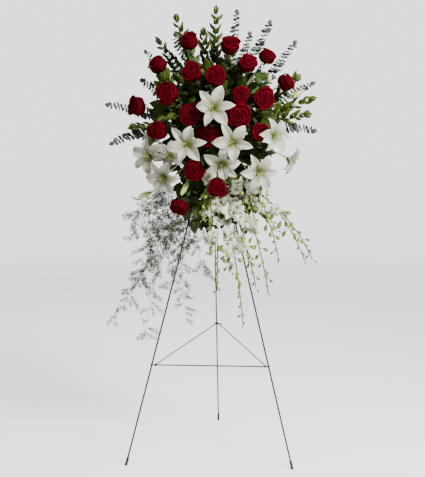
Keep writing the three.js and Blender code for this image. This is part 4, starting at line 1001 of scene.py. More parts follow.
@dataclass
class Rose:
    """A rose head: overlapping petals on a spiral, tight in the middle and open at the rim."""

    number: int
    at: Triple
    radius: float
    turned: float
    bunch: str
    leaves: tuple[float, ...]
    bend: Triple = (0, 0, 0)
    petals: int = 21
    thick: float = 0.7
    wall_share: float = 0.76
    swell: float = 1.07
    depth: float = 1.15
    seed: int = 100

    @property
    def axis(self) -> np.ndarray:
        """The way that the bloom looks."""
        hub = foam_point(*HUBS[self.bunch].at)
        stem_way = unit(np.array(self.at, float) - hub)
        return unit(stem_way * (1 - self.turned) + TOWARDS_VIEWER * self.turned)

    @property
    def base(self) -> np.ndarray:
        """The foot of the head, where the calyx holds it."""
        return np.array(self.at, float) - self.axis * 0.55 * self.depth * self.radius

    def line(self) -> StemLine:
        """The line of its stem."""
        return HUBS[self.bunch].flower_line(self.base - self.axis * 5, self.axis, self.bend)

    def build(self, garden: Garden) -> None:
        """Builds the head's petals and adds them."""
        rng = np.random.default_rng(self.seed + self.number)
        side, up = square_to(self.axis)
        basis = np.stack([side, up, self.axis])
        parts = Parts()
        start = rng.uniform(0, 2 * math.pi)
        for k in range(self.petals):
            share = k / (self.petals - 1)
            grid = self._petal(share, start + k * GOLDEN_ANGLE, rng)
            # Painted shade: petals in the heart of the bloom get a high tone, which darkens them towards the
            # second colour, and the outer petals a low one.
            tone = float(np.clip(0.8 - 0.75 * share + rng.uniform(-0.2, 0.2), 0, 1))
            parts.sheet(np.array(self.at, float) + grid @ basis, self.thick, tone)
        garden.form(f"rose_{self.number:02d}_petals", ROSE_VELVET, parts, [f"rose_{self.number:02d}"])

    def _petal(self, share: float, angle: float, rng: np.random.Generator) -> np.ndarray:
        """The grid of one petal.

        Args:
            share: From 0 in the heart to 1 at the rim.
            angle: Where the petal's middle stands round the bloom.
            rng: Source of the small differences between petals.

        Returns:
            Points in the bloom's own frame, whose third axis is the way that it looks.
        """
        size = self.radius * self.swell
        uu, vv = np.meshgrid(np.linspace(-1, 1, 9), np.linspace(0, 1, 12))
        rounded = vv * (1 - 0.24 * np.abs(uu) ** 3)
        wall = np.minimum(rounded / self.wall_share, 1)
        half = math.radians(108 - 50 * share**0.7 + rng.uniform(-5, 5))
        width = half * (0.42 + 0.58 * np.sin(np.clip(rounded * 1.15, 0, 1) * math.pi / 2))
        foot = (0.06 + 0.12 * share, -0.62)
        low = (0.16 + 0.92 * share, -0.64 + 0.2 * (1 - share))
        high = (0.1 + 0.98 * share, 0.18 - 0.08 * share)
        top_out = 0.03 + 0.78 * share**1.1 + rng.uniform(-0.02, 0.02)
        top_up = 0.56 + 0.12 * math.sin(math.pi * min(share * 1.4, 1)) - 0.12 * share**2.5
        top_up += rng.uniform(-0.03, 0.03)
        ends = [(1 - wall) ** 3, 3 * wall * (1 - wall) ** 2, 3 * wall**2 * (1 - wall), wall**3]
        out = ends[0] * foot[0] + ends[1] * low[0] + ends[2] * high[0] + ends[3] * top_out
        rise = ends[0] * foot[1] + ends[1] * low[1] + ends[2] * high[1] + ends[3] * top_up
        roll = math.radians(150) * np.clip((rounded - self.wall_share) / (1 - self.wall_share), 0, 1)
        lip = (0.035 + 0.085 * share**1.2) * (1 + 0.3 * np.sin(2 * uu + rng.uniform(0, 6)))
        out += lip * (1 - np.cos(roll)) + 0.03 * uu * (0.3 + share) - 0.04 * share * np.abs(uu) ** 4
        rise += lip * np.sin(roll) + 0.035 * share * np.sin(2.5 * uu + rng.uniform(0, 6)) * rounded
        out = np.clip(out, 0.01, 1.05)
        turn = angle + uu * width
        return np.stack([out * np.cos(turn), out * np.sin(turn), rise], axis=2) * size


@dataclass
class Lily:
    """A lily: three wide and three narrow tepals that curl back, a pistil and six stamens."""

    number: int
    at: Triple
    radius: float
    faces: Triple
    roll: float
    bunch: str
    tepals: tuple[tuple[float, float], ...] = ()
    thick: float = 0.9
    neck: float = 0.5
    seed: int = 300

    @property
    def axis(self) -> np.ndarray:
        """The way that the flower looks."""
        return unit(np.array(self.faces, float))

    @property
    def base(self) -> np.ndarray:
        """The foot of the flower's neck."""
        return np.array(self.at, float) - self.axis * self.neck * self.radius

    def line(self) -> StemLine:
        """The line of its stem."""
        return HUBS[self.bunch].flower_line(self.base - self.axis * 0.45, self.axis)

    def build(self, garden: Garden) -> None:
        """Builds the tepals, the pistil and the stamens."""
        rng = np.random.default_rng(self.seed + self.number)
        side, up = square_to(self.axis)
        turn = math.radians(self.roll)
        right = side * math.cos(turn) + up * math.sin(turn)
        above = up * math.cos(turn) - side * math.sin(turn)
        basis = np.stack([right, above, self.axis])
        middle = np.array(self.at, float)
        petals, heart, anthers = Parts(), Parts(), Parts()
        for k in range(6):
            shift, reach = self.tepals[k] if self.tepals else (0.0, 1.0)
            grid = self._tepal(k, 60 * k + shift, reach, rng)
            # Painted shade: each tepal gets a random tone, which darkens it towards the second colour, so
            # that some tepals look shaded.
            petals.sheet(middle + grid @ basis, self.thick, float(rng.uniform(0, 1)))
        neck = np.array([(0, 0, -self.neck), (0, 0, -0.39), (0, 0, -0.29)], float) * self.radius
        petals.tube(middle + neck @ basis, np.array([0.055, 0.075, 0.06]) * self.radius, 8, 0.8)
        pistil = np.array([(0, 0, -0.25), (0.01, 0, 0.1), (0.03, 0.01, 0.34), (0.05, 0.02, 0.4)], float)
        pistil *= self.radius
        heart.tube(middle + pistil @ basis, np.array([0.03, 0.022, 0.022, 0.045]) * self.radius, 6, 0.5)
        for k in range(6):
            angle = math.radians(60 * k + 30 + rng.uniform(-8, 8))
            out = vec(math.cos(angle), math.sin(angle), 0)
            tip = out * 0.2 + vec(0, 0, 0.26)
            thread = np.array([vec(0, 0, -0.24), out * 0.07 + vec(0, 0, 0.04), tip]) * self.radius
            heart.tube(middle + thread @ basis, np.array([0.014, 0.011, 0.008]) * self.radius, 4, 0.5)
            across = vec(-math.sin(angle), math.cos(angle), 0.2) * 0.055
            anther = np.array([tip - across, tip, tip + across]) * self.radius
            anthers.tube(middle + anther @ basis, np.array([0.008, 0.022, 0.008]) * self.radius, 5, 0.5)
        node = f"lily_{self.number:02d}"
        garden.form(f"{node}_tepals", LILY_WAX, petals, [node])
        garden.form(f"{node}_pistil", PISTIL_GREEN, heart, [])
        garden.form(f"{node}_anthers", ANTHER_OLIVE, anthers, [])

    def _tepal(self, number: int, degrees: float, reach: float, rng: np.random.Generator) -> np.ndarray:
        """The grid of one tepal in the flower's own frame, whose third axis is the way that it looks."""
        wide = 0.58 if number % 2 == 0 else 0.42
        v = np.linspace(0, 1, 14)
        u = np.linspace(-1, 1, 9)
        uu, vv = np.meshgrid(u, v)
        lift = rng.uniform(-0.05, 0.05)
        knots = (0, 0.18, 0.4, 0.6, 0.8, 0.93, 1)
        out = np.interp(v, knots, (0.05, 0.14, 0.38, 0.62, 0.84, 0.96, 1.0)) * reach
        rise = np.interp(v, knots, (-0.3, -0.13, 0.06, 0.14, 0.12, 0.04, -0.03))
        out, rise = smoothed(out), smoothed(rise) + lift * v
        swell = np.sin(math.pi * np.clip(0.1 + 0.9 * v, 0, 1) ** 1.05) ** 1.05
        half = wide / 2 * np.maximum(swell, 0.02)[:, None]
        ruffle = 0.012 * np.sin(vv * 14 + rng.uniform(0, 6)) * uu**2
        cup = 0.5 * half * uu**2 - 0.03 * np.exp(-((uu / 0.2) ** 2)) * np.sin(vv * math.pi) ** 0.6
        sway = 0.04 * rng.uniform(-1, 1) * vv**2
        angle = math.radians(degrees)
        radial = out[:, None] + 0 * uu
        across = uu * half + sway
        x = radial * math.cos(angle) - across * math.sin(angle)
        y = radial * math.sin(angle) + across * math.cos(angle)
        return np.stack([x, y, rise[:, None] + cup + ruffle], axis=2) * self.radius


def smoothed(values: np.ndarray) -> np.ndarray:
    """Rounds the corners of a line of values and keeps its ends."""
    for _ in range(2):
        values = np.concatenate([values[:1], (values[:-2] + 2 * values[1:-1] + values[2:]) / 4, values[-1:]])
    return values


ROSES = [
    Rose(1, (-76, 112, 1517), 34, 0.3, "stems_top", (0.45, 0.7)),
    Rose(2, (68, 107, 1501), 35, 0.35, "stems_top", (0.5, 0.75)),
    Rose(3, (199, 122, 1464), 30, 0.3, "stems_upper_right", (0.5, 0.75)),
    Rose(4, (-189, 122, 1436), 34, 0.3, "stems_upper_left", (0.5, 0.72)),
    Rose(5, (-62, 62, 1403), 36, 0.5, "stems_top", (0.6,)),
    Rose(6, (20, 52, 1390), 36, 0.5, "stems_top", (0.55,)),
    Rose(7, (130, 87, 1434), 33, 0.45, "stems_upper_right", (0.6,)),
    Rose(8, (265, 122, 1372), 32, 0.25, "stems_upper_right", (0.5, 0.75)),
    Rose(9, (-148, 62, 1329), 40, 0.65, "stems_upper_left", (0.5, 0.75)),
    Rose(10, (-264, 122, 1291), 34, 0.4, "stems_upper_left", (0.5, 0.72)),
    Rose(11, (-61, 7, 1261), 41, 0.95, "stems_upper_left", (0.6,)),
    Rose(12, (107, 50, 1325), 32, 0.8, "stems_upper_right", (0.6,)),
    Rose(13, (186, 52, 1314), 39, 0.75, "stems_upper_right", (0.5, 0.75)),
    Rose(14, (103, 2, 1252), 43, 0.95, "stems_centre", (0.45,)),
    Rose(15, (-180, 42, 1202), 33, 0.5, "stems_left", (0.4, 0.7)),
    Rose(16, (172, 55, 1200), 32, 0.6, "stems_right", (0.45, 0.7)),
    Rose(17, (-6, 52, 1188), 43, 1, "stems_centre", (0.5,)),
    Rose(18, (-52, 17, 1065), 38, 0.95, "stems_left", (0.5, 0.75)),
    Rose(19, (29, 7, 1007), 34, 0.8, "stems_right", (0.5, 0.75)),
    Rose(20, (-109, 62, 937), 32, 0.3, "stems_left", (0.5, 0.75), (-10, -45, 0)),
]

LILIES = [
    Lily(
        1, (18, -33, 1279), 74, (0.05, -1, 0.15), 12, "stems_centre",
        ((-4, 0.8), (-18, 1.02), (-20, 1.14), (-20, 1.05), (-20, 1.03), (-18, 0.92)),
    ),
    Lily(
        2, (-73, -33, 1155), 70, (-0.1, -1, 0.1), 2, "stems_centre",
        ((-18, 1.04), (-15, 1.14), (-18, 0.93), (-8, 1.0), (-13, 1.03), (-11, 0.96)),
    ),
    Lily(
        3, (86, -43, 1160), 70, (0.1, -1, 0.05), 18, "stems_centre",
        ((-18, 1.03), (-16, 1.18), (-12, 1.05), (-7, 1.02), (8, 0.92), (4, 0.9)),
    ),
    Lily(
        4, (50, -13, 1087), 66, (0, -1, -0.25), 40, "stems_right",
        ((-12, 1.12), (-4, 1.0), (14, 0.95), (4, 1.0), (-16, 0.88), (-7, 1.0)),
    ),
    Lily(5, (176, 12, 1058), 70, (0.35, -1, -0.15), 0, "stems_right"),
    Lily(6, (230, 32, 1185), 66, (0.75, -1, 0.1), 5, "stems_right"),
    Lily(7, (285, 92, 1100), 58, (1, -0.35, -0.55), 20, "stems_right"),
    Lily(
        8, (-217, 52, 1113), 70, (-0.5, -1, -0.1), 25, "stems_left",
        ((0, 1.0), (0, 1.0), (0, 1.05), (-25, 1.12), (0, 1.0), (0, 1.05)),
    ),
    Lily(9, (-163, 32, 1039), 70, (-0.35, -1, -0.35), 0, "stems_left"),
    Lily(10, (-142, 42, 1116), 60, (0.1, -1, 0.3), 40, "stems_left"),
    Lily(11, (-206, 76, 1173), 60, (-0.8, -0.75, 0.4), 10, "stems_left"),
]


@dataclass(frozen=True)
class LilyBud:
    """A closed lily bud: its middle, its length, the way that its tip points and its bunch."""

    at: Triple
    length: float
    points: Triple
    bunch: str
    fullness: float = 1.1

    def line(self) -> StemLine:
        """The line of its stem."""
        way = unit(np.array(self.points, float))
        return HUBS[self.bunch].flower_line(np.array(self.at, float) - way * 0.45 * self.length, way)

    def add_to(self, parts: Parts) -> None:
        """Adds the bud's body, a round tube that swells towards the middle."""
        way = unit(np.array(self.points, float))
        shares = np.array([-0.5, -0.35, -0.15, 0.1, 0.3, 0.44, 0.5])
        line = np.array(self.at, float) + np.outer(shares * self.length, way)
        parts.tube(line, np.array([2.6, 5.0, 7.4, 7.2, 5.6, 3.2, 1.0]) * self.fullness, 9, 0.5)


BUDS = (
    LilyBud((209, 122, 1390), 38, (0.15, 0, 1), "stems_upper_right"),
    LilyBud((307, 125, 1334), 38, (1, 0, 0.5), "stems_upper_right"),
    LilyBud((-87, 32, 1000), 54, (-0.55, -0.2, -1), "stems_left", 1.3),
    LilyBud((-237, 85, 974), 48, (-1, -0.1, -0.4), "stems_left", 1.3),
    LilyBud((183, 62, 960), 38, (0.3, -0.2, -1), "stems_right"),
)


def of_bunch(growths: Iterable, bunch: str) -> list:
    """The flowers, buds or stems that belong to a bunch."""
    return [one for one in growths if one.bunch == bunch]


@dataclass
class StemBunch:
    """The stems of one bunch, with the leaves, the calyxes and the lily buds that they carry."""

    name: str
    rose_radius: float = 2.6
    lily_radius: float = 2.2
    bud_radius: float = 1.7
    leaf_length: float = 46.0
    seed: int = 500

    def build(self, garden: Garden) -> None:
        """Builds the bunch's stems, leaves and buds."""
        lines, leaves, sepals, buds = [], [], [], Parts()
        rng = np.random.default_rng(self.seed + len(self.name) + ord(self.name[-1]))
        for rose in of_bunch(ROSES, self.name):
            line = rose.line()
            lines.append((line.sampled(24), self.rose_radius))
            leaves.extend(self._leaves(rose, line, rng))
            sepals.extend(self._sepals(rose, rng))
            lines.append(self._calyx(rose))
        for lily in of_bunch(LILIES, self.name):
            lines.append((lily.line().sampled(24), self.lily_radius))
        for bud in of_bunch(BUDS, self.name):
            lines.append((bud.line().sampled(20), self.bud_radius))
            bud.add_to(buds)
        garden.stems(self.name + "_stalks", STEM_GREEN, lines, [self.name], sides=8)
        if leaves:
            garden.scatter(self.name + "_leaves", "rose_leaf", ROSE_LEAF, leaves, [], spread=0.12, seed=3)
        if sepals:
            garden.scatter(self.name + "_sepals", "sepal", STEM_GREEN, sepals, [], spread=0.12, seed=5)
        if buds.count:
            garden.form(self.name + "_buds", BUD_LIME, buds, [])

    def _calyx(self, rose: Rose) -> tuple[np.ndarray, Sequence[float]]:
        """The green cup under a rose, as a line with radii."""
        base, axis = rose.base, rose.axis
        points = np.array([base + axis * ahead for ahead in (-9, -7, -4, -0.5, 3)])
        top = 0.2 * rose.radius
        return points, (2.4, 3.6, 0.8 * top, top, 0.9 * top)

    def _sepals(self, rose: Rose, rng: np.random.Generator) -> list[tuple]:
        """Five sepals that spread from the calyx."""
        side, up = square_to(rose.axis)
        places = []
        for k in range(5):
            angle = math.radians(72 * k + rng.uniform(-8, 8))
            out = side * math.cos(angle) + up * math.sin(angle)
            way = unit(out - rose.axis * rng.uniform(0.0, 0.5))
            start = rose.base + out * 0.16 * rose.radius - rose.axis * 1.5
            places.append((start, way, np.cross(way, rose.axis), (20.0, 20.0, 20.0), 0.5))
        return places

    def _leaves(self, rose: Rose, line: StemLine, rng: np.random.Generator) -> list[tuple]:
        """Compound leaves: an end leaflet and a pair of side leaflets at each node."""
        places = []
        spots = spots_along(line, rose.leaves, lambda k: [120 * ((k + rose.number - 1) % 3)])
        for spot in spots:
            way = spot.way(35)
            across = turned_to_viewer(way, spot.across, 0.7)
            size = self.leaf_length
            places.append((spot.at + way * 6, way, across, (size,) * 3, rng.uniform(0, 1)))
            for side in (-1, 1):
                aside = unit(way * 0.55 + across * side)
                face = turned_to_viewer(aside, across - aside * float(across @ aside), 0.3)
                places.append((spot.at + way * 10, aside, face, (size * 0.72,) * 3, rng.uniform(0, 1)))
        return places


# the greens


@dataclass(frozen=True)
class GreenStem:
    """A stem of cut greens: its bunch, tip and elbow, where its leaves start, and its shade: a shift of tone
    that is painted light and shade on the whole stem.
    """

    bunch: str
    tip: Triple
    elbow: Triple
    start: float
    # painted light and shade: shifts the tone of all the stem's leaves; a higher value darkens myrtle and
    # lightens salal
    shade: float = 0.0


@dataclass
class Greens:
    """One kind of cut greens: how its leaves stand on their stems."""

    kind: str
    item: str
    finish: Finish
    radius: float
    gap: float
    length: float
    width: float
    tilt: float
    faces: float
    turns: Callable[[int], Sequence[float]]
    taper: float
    stems: Sequence[GreenStem]
    crossed: bool = False
    seed: int = 700

    def build(self, garden: Garden) -> None:
        """Builds the kind's bunches."""
        for bunch in sorted({stem.bunch for stem in self.stems}):
            node = f"{self.kind}_{bunch}"
            rng = np.random.default_rng(self.seed + sum(map(ord, node)))
            lines, places = [], []
            for stem in of_bunch(self.stems, bunch):
                tip, elbow = np.array(stem.tip, float), np.array(stem.elbow, float)
                line = HUBS[node].line(elbow, tip - unit(tip - elbow) * self.length)
                lines.append((line.sampled(28), np.linspace(self.radius * 1.15, self.radius * 0.75, 28)))
                places.extend(self._leaves(line, stem, rng))
            garden.stems(f"{node}_twigs", TWIG_BARK, lines, [node], sides=6)
            garden.scatter(f"{node}_leaves", self.item, self.finish, places, [node], spread=0.1, seed=11)

    def _leaves(self, line: StemLine, stem: GreenStem, rng: np.random.Generator) -> list[tuple]:
        """Leaves from near the start to the tip, smaller towards the tip."""
        places = []
        shares = shares_along(line, stem.start * 0.8, self.gap)
        for number, spot in enumerate(spots_along(line, shares, self.turns)):
            share = float(np.linalg.norm(spot.at - line.start)) / max(line.length, 1)
            if number % 2 == 0:
                sway, shown = rng.uniform(-16, 16), rng.uniform(0.3, 1.0)
            tilt = sway - self.tilt if self.crossed and number % 2 else self.tilt + sway
            way = spot.way(tilt + rng.uniform(-8, 8), rng.uniform(-18, 18))
            across = turned_to_viewer(way, spot.across, self.faces * shown)
            size = self.length * (1 - self.taper * max(share - 0.6, 0) / 0.4)
            # Tone falls from the stem's base to its tip, with a random part; the stem's shade shifts it,
            # which is painted light and shade on the whole stem.
            tone = float(np.clip(1.1 - share + stem.shade + rng.uniform(-0.25, 0.25), 0, 1))
            size *= rng.uniform(0.85, 1.15)
            root = -0.09 * way * size if self.crossed else spot.out * self.radius * 0.4
            places.append((spot.at + root, way, across, (size * self.width, size, size), tone))
        end, axis = line.at(1.0)
        side = square_to(axis, TOWARDS_VIEWER)[0]
        for side_way in (0.0, 0.35, -0.35):
            size = self.length * (1 - self.taper * 0.6) * (1 if side_way == 0 else 0.8)
            way = unit(axis + side * side_way)
            # the end leaves take the stem's shade as their tone: painted light and shade
            places.append((end, way, side, (size * self.width, size, size), max(stem.shade, 0.1)))
        return places


EUCALYPTUS = Greens(
    "eucalyptus", "disc_leaf", EUCALYPTUS_LEAF, 1.6, 13.0, 28.0, 0.62, 24.0, 0.85,
    lambda k: (14, 194) if k % 2 == 0 else (-24, 156), 0.4,
    (
        GreenStem("top", (90, 190, 1650), (85, 185, 1535), 0.55),
        GreenStem("top", (140, 180, 1570), (125, 180, 1490), 0.6),
        GreenStem("top", (215, 190, 1610), (180, 180, 1515), 0.55),
        GreenStem("top", (-140, 200, 1570), (-120, 200, 1475), 0.6),
        GreenStem("right", (310, 190, 1535), (220, 205, 1415), 0.45),
        GreenStem("right", (380, 170, 1380), (310, 170, 1350), 0.55),
        GreenStem("right", (390, 160, 1200), (255, 165, 1230), 0.5),
        GreenStem("left", (-255, 190, 1505), (-215, 205, 1455), 0.6),
        GreenStem("left", (-270, 165, 1395), (-210, 170, 1360), 0.6),
        GreenStem("left", (-400, 170, 1300), (-310, 170, 1290), 0.6),
        GreenStem("left", (-385, 175, 1150), (-250, 175, 1215), 0.5),
    ),
    crossed=True,
)
# the fifth number of a stem is painted light and shade: positive darkens stems on the left, negative lightens
# the lit stems on the right
MYRTLE = Greens(
    "myrtle", "lance_leaf", MYRTLE_LEAF, 1.6, 17.5, 42.0, 0.42, 52.0, 1.0,
    lambda k: (25, 205) if k % 2 == 0 else (115, 295), 0.3,
    (
        GreenStem("top", (-140, 185, 1635), (-110, 175, 1560), 0.6, 0.1),
        GreenStem("top", (-35, 185, 1590), (-25, 185, 1480), 0.5),
        GreenStem("top", (15, 180, 1665), (15, 170, 1440), 0.4),
        GreenStem("top", (-210, 180, 1550), (-140, 175, 1450), 0.55, 0.5),
        GreenStem("top", (50, 180, 1495), (65, 200, 1400), 0.55),
        GreenStem("right", (390, 150, 1325), (235, 150, 1285), 0.45, -0.45),
        GreenStem("right", (375, 140, 1265), (265, 140, 1255), 0.5, -0.45),
        GreenStem("right", (330, 160, 1410), (295, 150, 1385), 0.65),
        GreenStem("left", (-315, 145, 1210), (-230, 140, 1230), 0.55),
    ),
)
# the fifth number of a stem is painted light and shade: positive lightens the stems that are lit, negative
# darkens shaded ones
SALAL = Greens(
    "salal", "broad_leaf", SALAL_LEAF, 1.8, 24.0, 66.0, 0.56, 38.0, 0.7,
    lambda k: (120 * ((k * 2) % 3),), 0.2,
    (
        GreenStem("left", (-200, 160, 1400), (-150, 175, 1330), 0.4, 0.45),
        GreenStem("left", (-172, 108, 1446), (-160, 125, 1370), 0.6, 0.8),
        GreenStem("left", (-230, 135, 1250), (-150, 140, 1240), 0.3, -0.35),
        GreenStem("left", (-190, 120, 1120), (-108, 146, 1136), 0.3, -0.35),
        GreenStem("left", (-100, 110, 1010), (-95, 130, 1090), 0.3, -0.3),
        GreenStem("right", (110, 165, 1470), (100, 180, 1370), 0.4, -0.1),
        GreenStem("right", (205, 165, 1380), (120, 185, 1320), 0.4),
        GreenStem("right", (250, 130, 1260), (160, 140, 1240), 0.3, -0.3),
        GreenStem("right", (240, 120, 1120), (150, 140, 1150), 0.3, 0.2),
        GreenStem("right", (165, 130, 1000), (140, 140, 1080), 0.3, -0.2),
    ),
)


@dataclass
class FillerGreens:
    """Short leafy stems that close the middle of the spray behind the blooms."""

    name: str = "filler"
    item: str = "filler_leaf"
    finish: Finish = SALAL_LEAF
    stems: int = 80
    middle: tuple[float, float] = (0, 1222)
    half_width: float = 190.0
    reach_up: float = 200.0
    reach_down: float = 190.0
    depth: tuple[float, float] = (58.0, 150.0)
    leaf: float = 56.0
    gap: float = 24.0
    seed: int = 1500
    low_tips: Sequence[Triple] = (
        (-70, 120, 960), (-35, 110, 905), (0, 125, 870), (30, 110, 930), (60, 130, 860), (85, 115, 915),
        (115, 130, 880), (140, 120, 950), (175, 130, 930), (-100, 130, 1010), (20, 100, 990),
        (110, 100, 1000), (-10, 140, 940), (70, 140, 960), (150, 135, 1010), (-80, 80, 930),
        (-55, 75, 890), (-100, 95, 975), (-45, 60, 945), (15, 85, 900), (80, 85, 935),
    )

    def build(self, garden: Garden) -> None:
        """Builds the filler's twigs and leaves."""
        rng = np.random.default_rng(self.seed)
        lines, places = [], []
        for tip in (*self._tips(rng), *(np.array(one, float) for one in self.low_tips)):
            line = self._line(tip)
            lines.append((line.sampled(12), np.linspace(1.5, 0.7, 12)))
            shares = shares_along(line, 0.3, self.gap)
            for spot in spots_along(line, shares, lambda k: (137 * k,)):
                way = spot.way(38 + rng.uniform(-18, 18), rng.uniform(-25, 25))
                across = turned_to_viewer(way, spot.across, rng.uniform(0.2, 0.8))
                size = self.leaf * rng.uniform(0.7, 1.15)
                places.append((spot.at, way, across, (size,) * 3, rng.uniform(0, 1)))
            end, axis = line.at(1.0)
            across = turned_to_viewer(axis, square_to(axis)[0], 0.6)
            places.append((end, axis, across, (self.leaf,) * 3, rng.uniform(0, 1)))
        garden.stems(f"{self.name}_twigs", STEM_GREEN, lines, [], sides=5)
        garden.scatter(f"{self.name}_leaves", self.item, self.finish, places, [], spread=0.1, seed=13)

    def _tips(self, rng: np.random.Generator) -> list[np.ndarray]:
        """Evenly spread stem tips over the middle of the spray."""
        tips = []
        for k in range(self.stems):
            share = math.sqrt((k + 0.5) / self.stems)
            angle = k * GOLDEN_ANGLE
            rise = self.reach_up if math.sin(angle) > 0 else self.reach_down
            depth = self.depth[0] + (self.depth[1] - self.depth[0]) * share + rng.uniform(-12, 12)
            aside = vec(math.cos(angle) * share * self.half_width, 0, math.sin(angle) * share * rise)
            tips.append(vec(self.middle[0], depth, self.middle[1]) + aside)
        return tips

    @staticmethod
    def _line(tip: np.ndarray) -> StemLine:
        """A line from the nearest part of the foam to a tip."""
        inner = tip - FOAM_CENTRE
        local = vec(inner[0], float(inner @ FRAME_UP), float(inner @ FRAME_OUT))
        held = np.clip(local, -FOAM_HALF * 0.85, FOAM_HALF * 0.85)
        start = FOAM_CENTRE + vec(held[0], 0, 0) + FRAME_UP * held[1] + FRAME_OUT * held[2]
        return StemLine(start, (start + tip) / 2 + vec(0, 12, 6), tip)


FINE_FILLER = FillerGreens(
    "fine_filler", "small_leaf", ROSE_LEAF, stems=34, middle=(55, 1395), half_width=165.0, reach_up=105.0,
    reach_down=60.0, depth=(128.0, 165.0), leaf=15.0, gap=6.5, seed=1600, low_tips=(),
)


@dataclass(frozen=True)
class OrchidSpray:
    """A hanging orchid spray: its bunch, tip and elbow, and where its florets start and end."""

    bunch: str
    tip: Triple
    elbow: Triple
    start: float
    buds: float


@dataclass
class Orchids:
    """Hanging dendrobium sprays, with white florets above and lime buds towards the tips."""

    floret_stalk: float = 20.0
    floret_size: float = 32.0
    floret_gap: float = 34.0
    bud_gap: float = 19.0
    bud_length: float = 25.0
    stem_radius: float = 2.7
    seed: int = 900
    sprays: Sequence[OrchidSpray] = (
        OrchidSpray("left", (25, 70, 630), (35, 60, 880), 0.2, 0.55),
        OrchidSpray("left", (120, 72, 505), (90, 50, 860), 0.2, 0.5),
        OrchidSpray("left", (165, 70, 645), (120, 30, 900), 0.2, 0.5),
        OrchidSpray("left", (5, 75, 760), (-10, 40, 940), 0.15, 0.8),
        OrchidSpray("left", (70, 85, 700), (60, 30, 950), 0.15, 0.7),
        OrchidSpray("left", (-22, 20, 890), (-10, 10, 1010), 0.2, 0.3),
        OrchidSpray("left", (10, 15, 880), (5, 5, 1000), 0.3, 0.35),
        OrchidSpray("right", (165, 35, 880), (130, 20, 1000), 0.3, 0.4),
        OrchidSpray("right", (235, 60, 850), (170, 50, 1000), 0.35, 0.4),
        OrchidSpray("right", (210, 70, 620), (165, 45, 930), 0.2, 0.5),
        OrchidSpray("right", (140, 70, 720), (110, 25, 960), 0.15, 0.75),
        OrchidSpray("right", (245, 80, 740), (215, 40, 980), 0.25, 0.5),
        OrchidSpray("right", (340, 90, 740), (240, 60, 1000), 0.3, 0.5),
        OrchidSpray("right", (365, 95, 745), (285, 80, 940), 0.45, 0.5),
    )

    def build(self, garden: Garden) -> None:
        """Builds the two bunches of sprays."""
        for bunch in ("left", "right"):
            node = f"orchids_{bunch}"
            rng = np.random.default_rng(self.seed + len(bunch))
            lines, florets, buds = [], [], []
            for spray in of_bunch(self.sprays, bunch):
                line = HUBS[node].line(np.array(spray.elbow, float), np.array(spray.tip, float))
                radii = np.linspace(self.stem_radius * 1.1, self.stem_radius * 0.7, 40)
                lines.append((line.sampled(40), radii))
                self._florets(line, spray, rng, lines, florets)
                self._buds(line, spray, rng, lines, buds)
            garden.stems(f"{node}_stalks", ORCHID_STEM, lines, [node], sides=6)
            garden.scatter(f"{node}_florets", "floret", ORCHID_PETAL, florets, [node], spread=0.12, seed=21)
            garden.scatter(f"{node}_buds", "bud", ORCHID_BUD, buds, [node], spread=0.18, seed=23)

    def _florets(
        self, line: StemLine, spray: OrchidSpray, rng: np.random.Generator, lines: list, places: list
    ) -> None:
        """Open florets on both sides of the stem, which look out and down."""
        shares = shares_along(line, spray.start, self.floret_gap, spray.buds)
        for spot in spots_along(line, shares, lambda k: (60 + 180 * (k % 2),)):
            way = spot.way(27 + rng.uniform(-25, 25), rng.uniform(-75, 75))
            end = spot.at + way * self.floret_stalk * rng.uniform(0.5, 1.35)
            lines.append((np.array([spot.at, (spot.at + end) / 2 + spot.axis * 2, end]), 0.8))
            looks = unit(way + TOWARDS_VIEWER * rng.uniform(0.4, 1.6) + vec(*rng.uniform(-0.5, 0.5, 3)))
            across = unit(np.cross(looks, vec(rng.uniform(-0.7, 0.7), 0, 1)))
            size = self.floret_size * rng.uniform(0.72, 1.12)
            # the random tone darkens some florets towards the greenish second colour: partly their own tint,
            # partly painted shade
            places.append((end, looks, across, (size,) * 3, rng.uniform(0, 0.8)))

    def _buds(
        self, line: StemLine, spray: OrchidSpray, rng: np.random.Generator, lines: list, places: list
    ) -> None:
        """Buds on thin curved stalks, smaller towards the tip."""
        shares = shares_along(line, spray.buds + 0.03, self.bud_gap, 0.995)
        for number, spot in enumerate(spots_along(line, shares, lambda k: (60 + 180 * (k % 2),))):
            share = number / max(len(shares) - 1, 1)
            way = spot.way(27 + rng.uniform(-12, 12), rng.uniform(-40, 40))
            reach = 27 * (1 - 0.5 * share) * rng.uniform(0.7, 1.1)
            end = spot.at + way * reach
            lines.append((np.array([spot.at, (spot.at + end) / 2 + spot.axis * 2.5, end]), 1.1))
            droops = unit(way + vec(0, 0, -0.35))
            size = self.bud_length * (1.15 - 0.6 * share)
            across = np.cross(droops, TOWARDS_VIEWER + vec(0.1, 0, 0.1))
            places.append((end, droops, across, (size,) * 3, 1 - share))


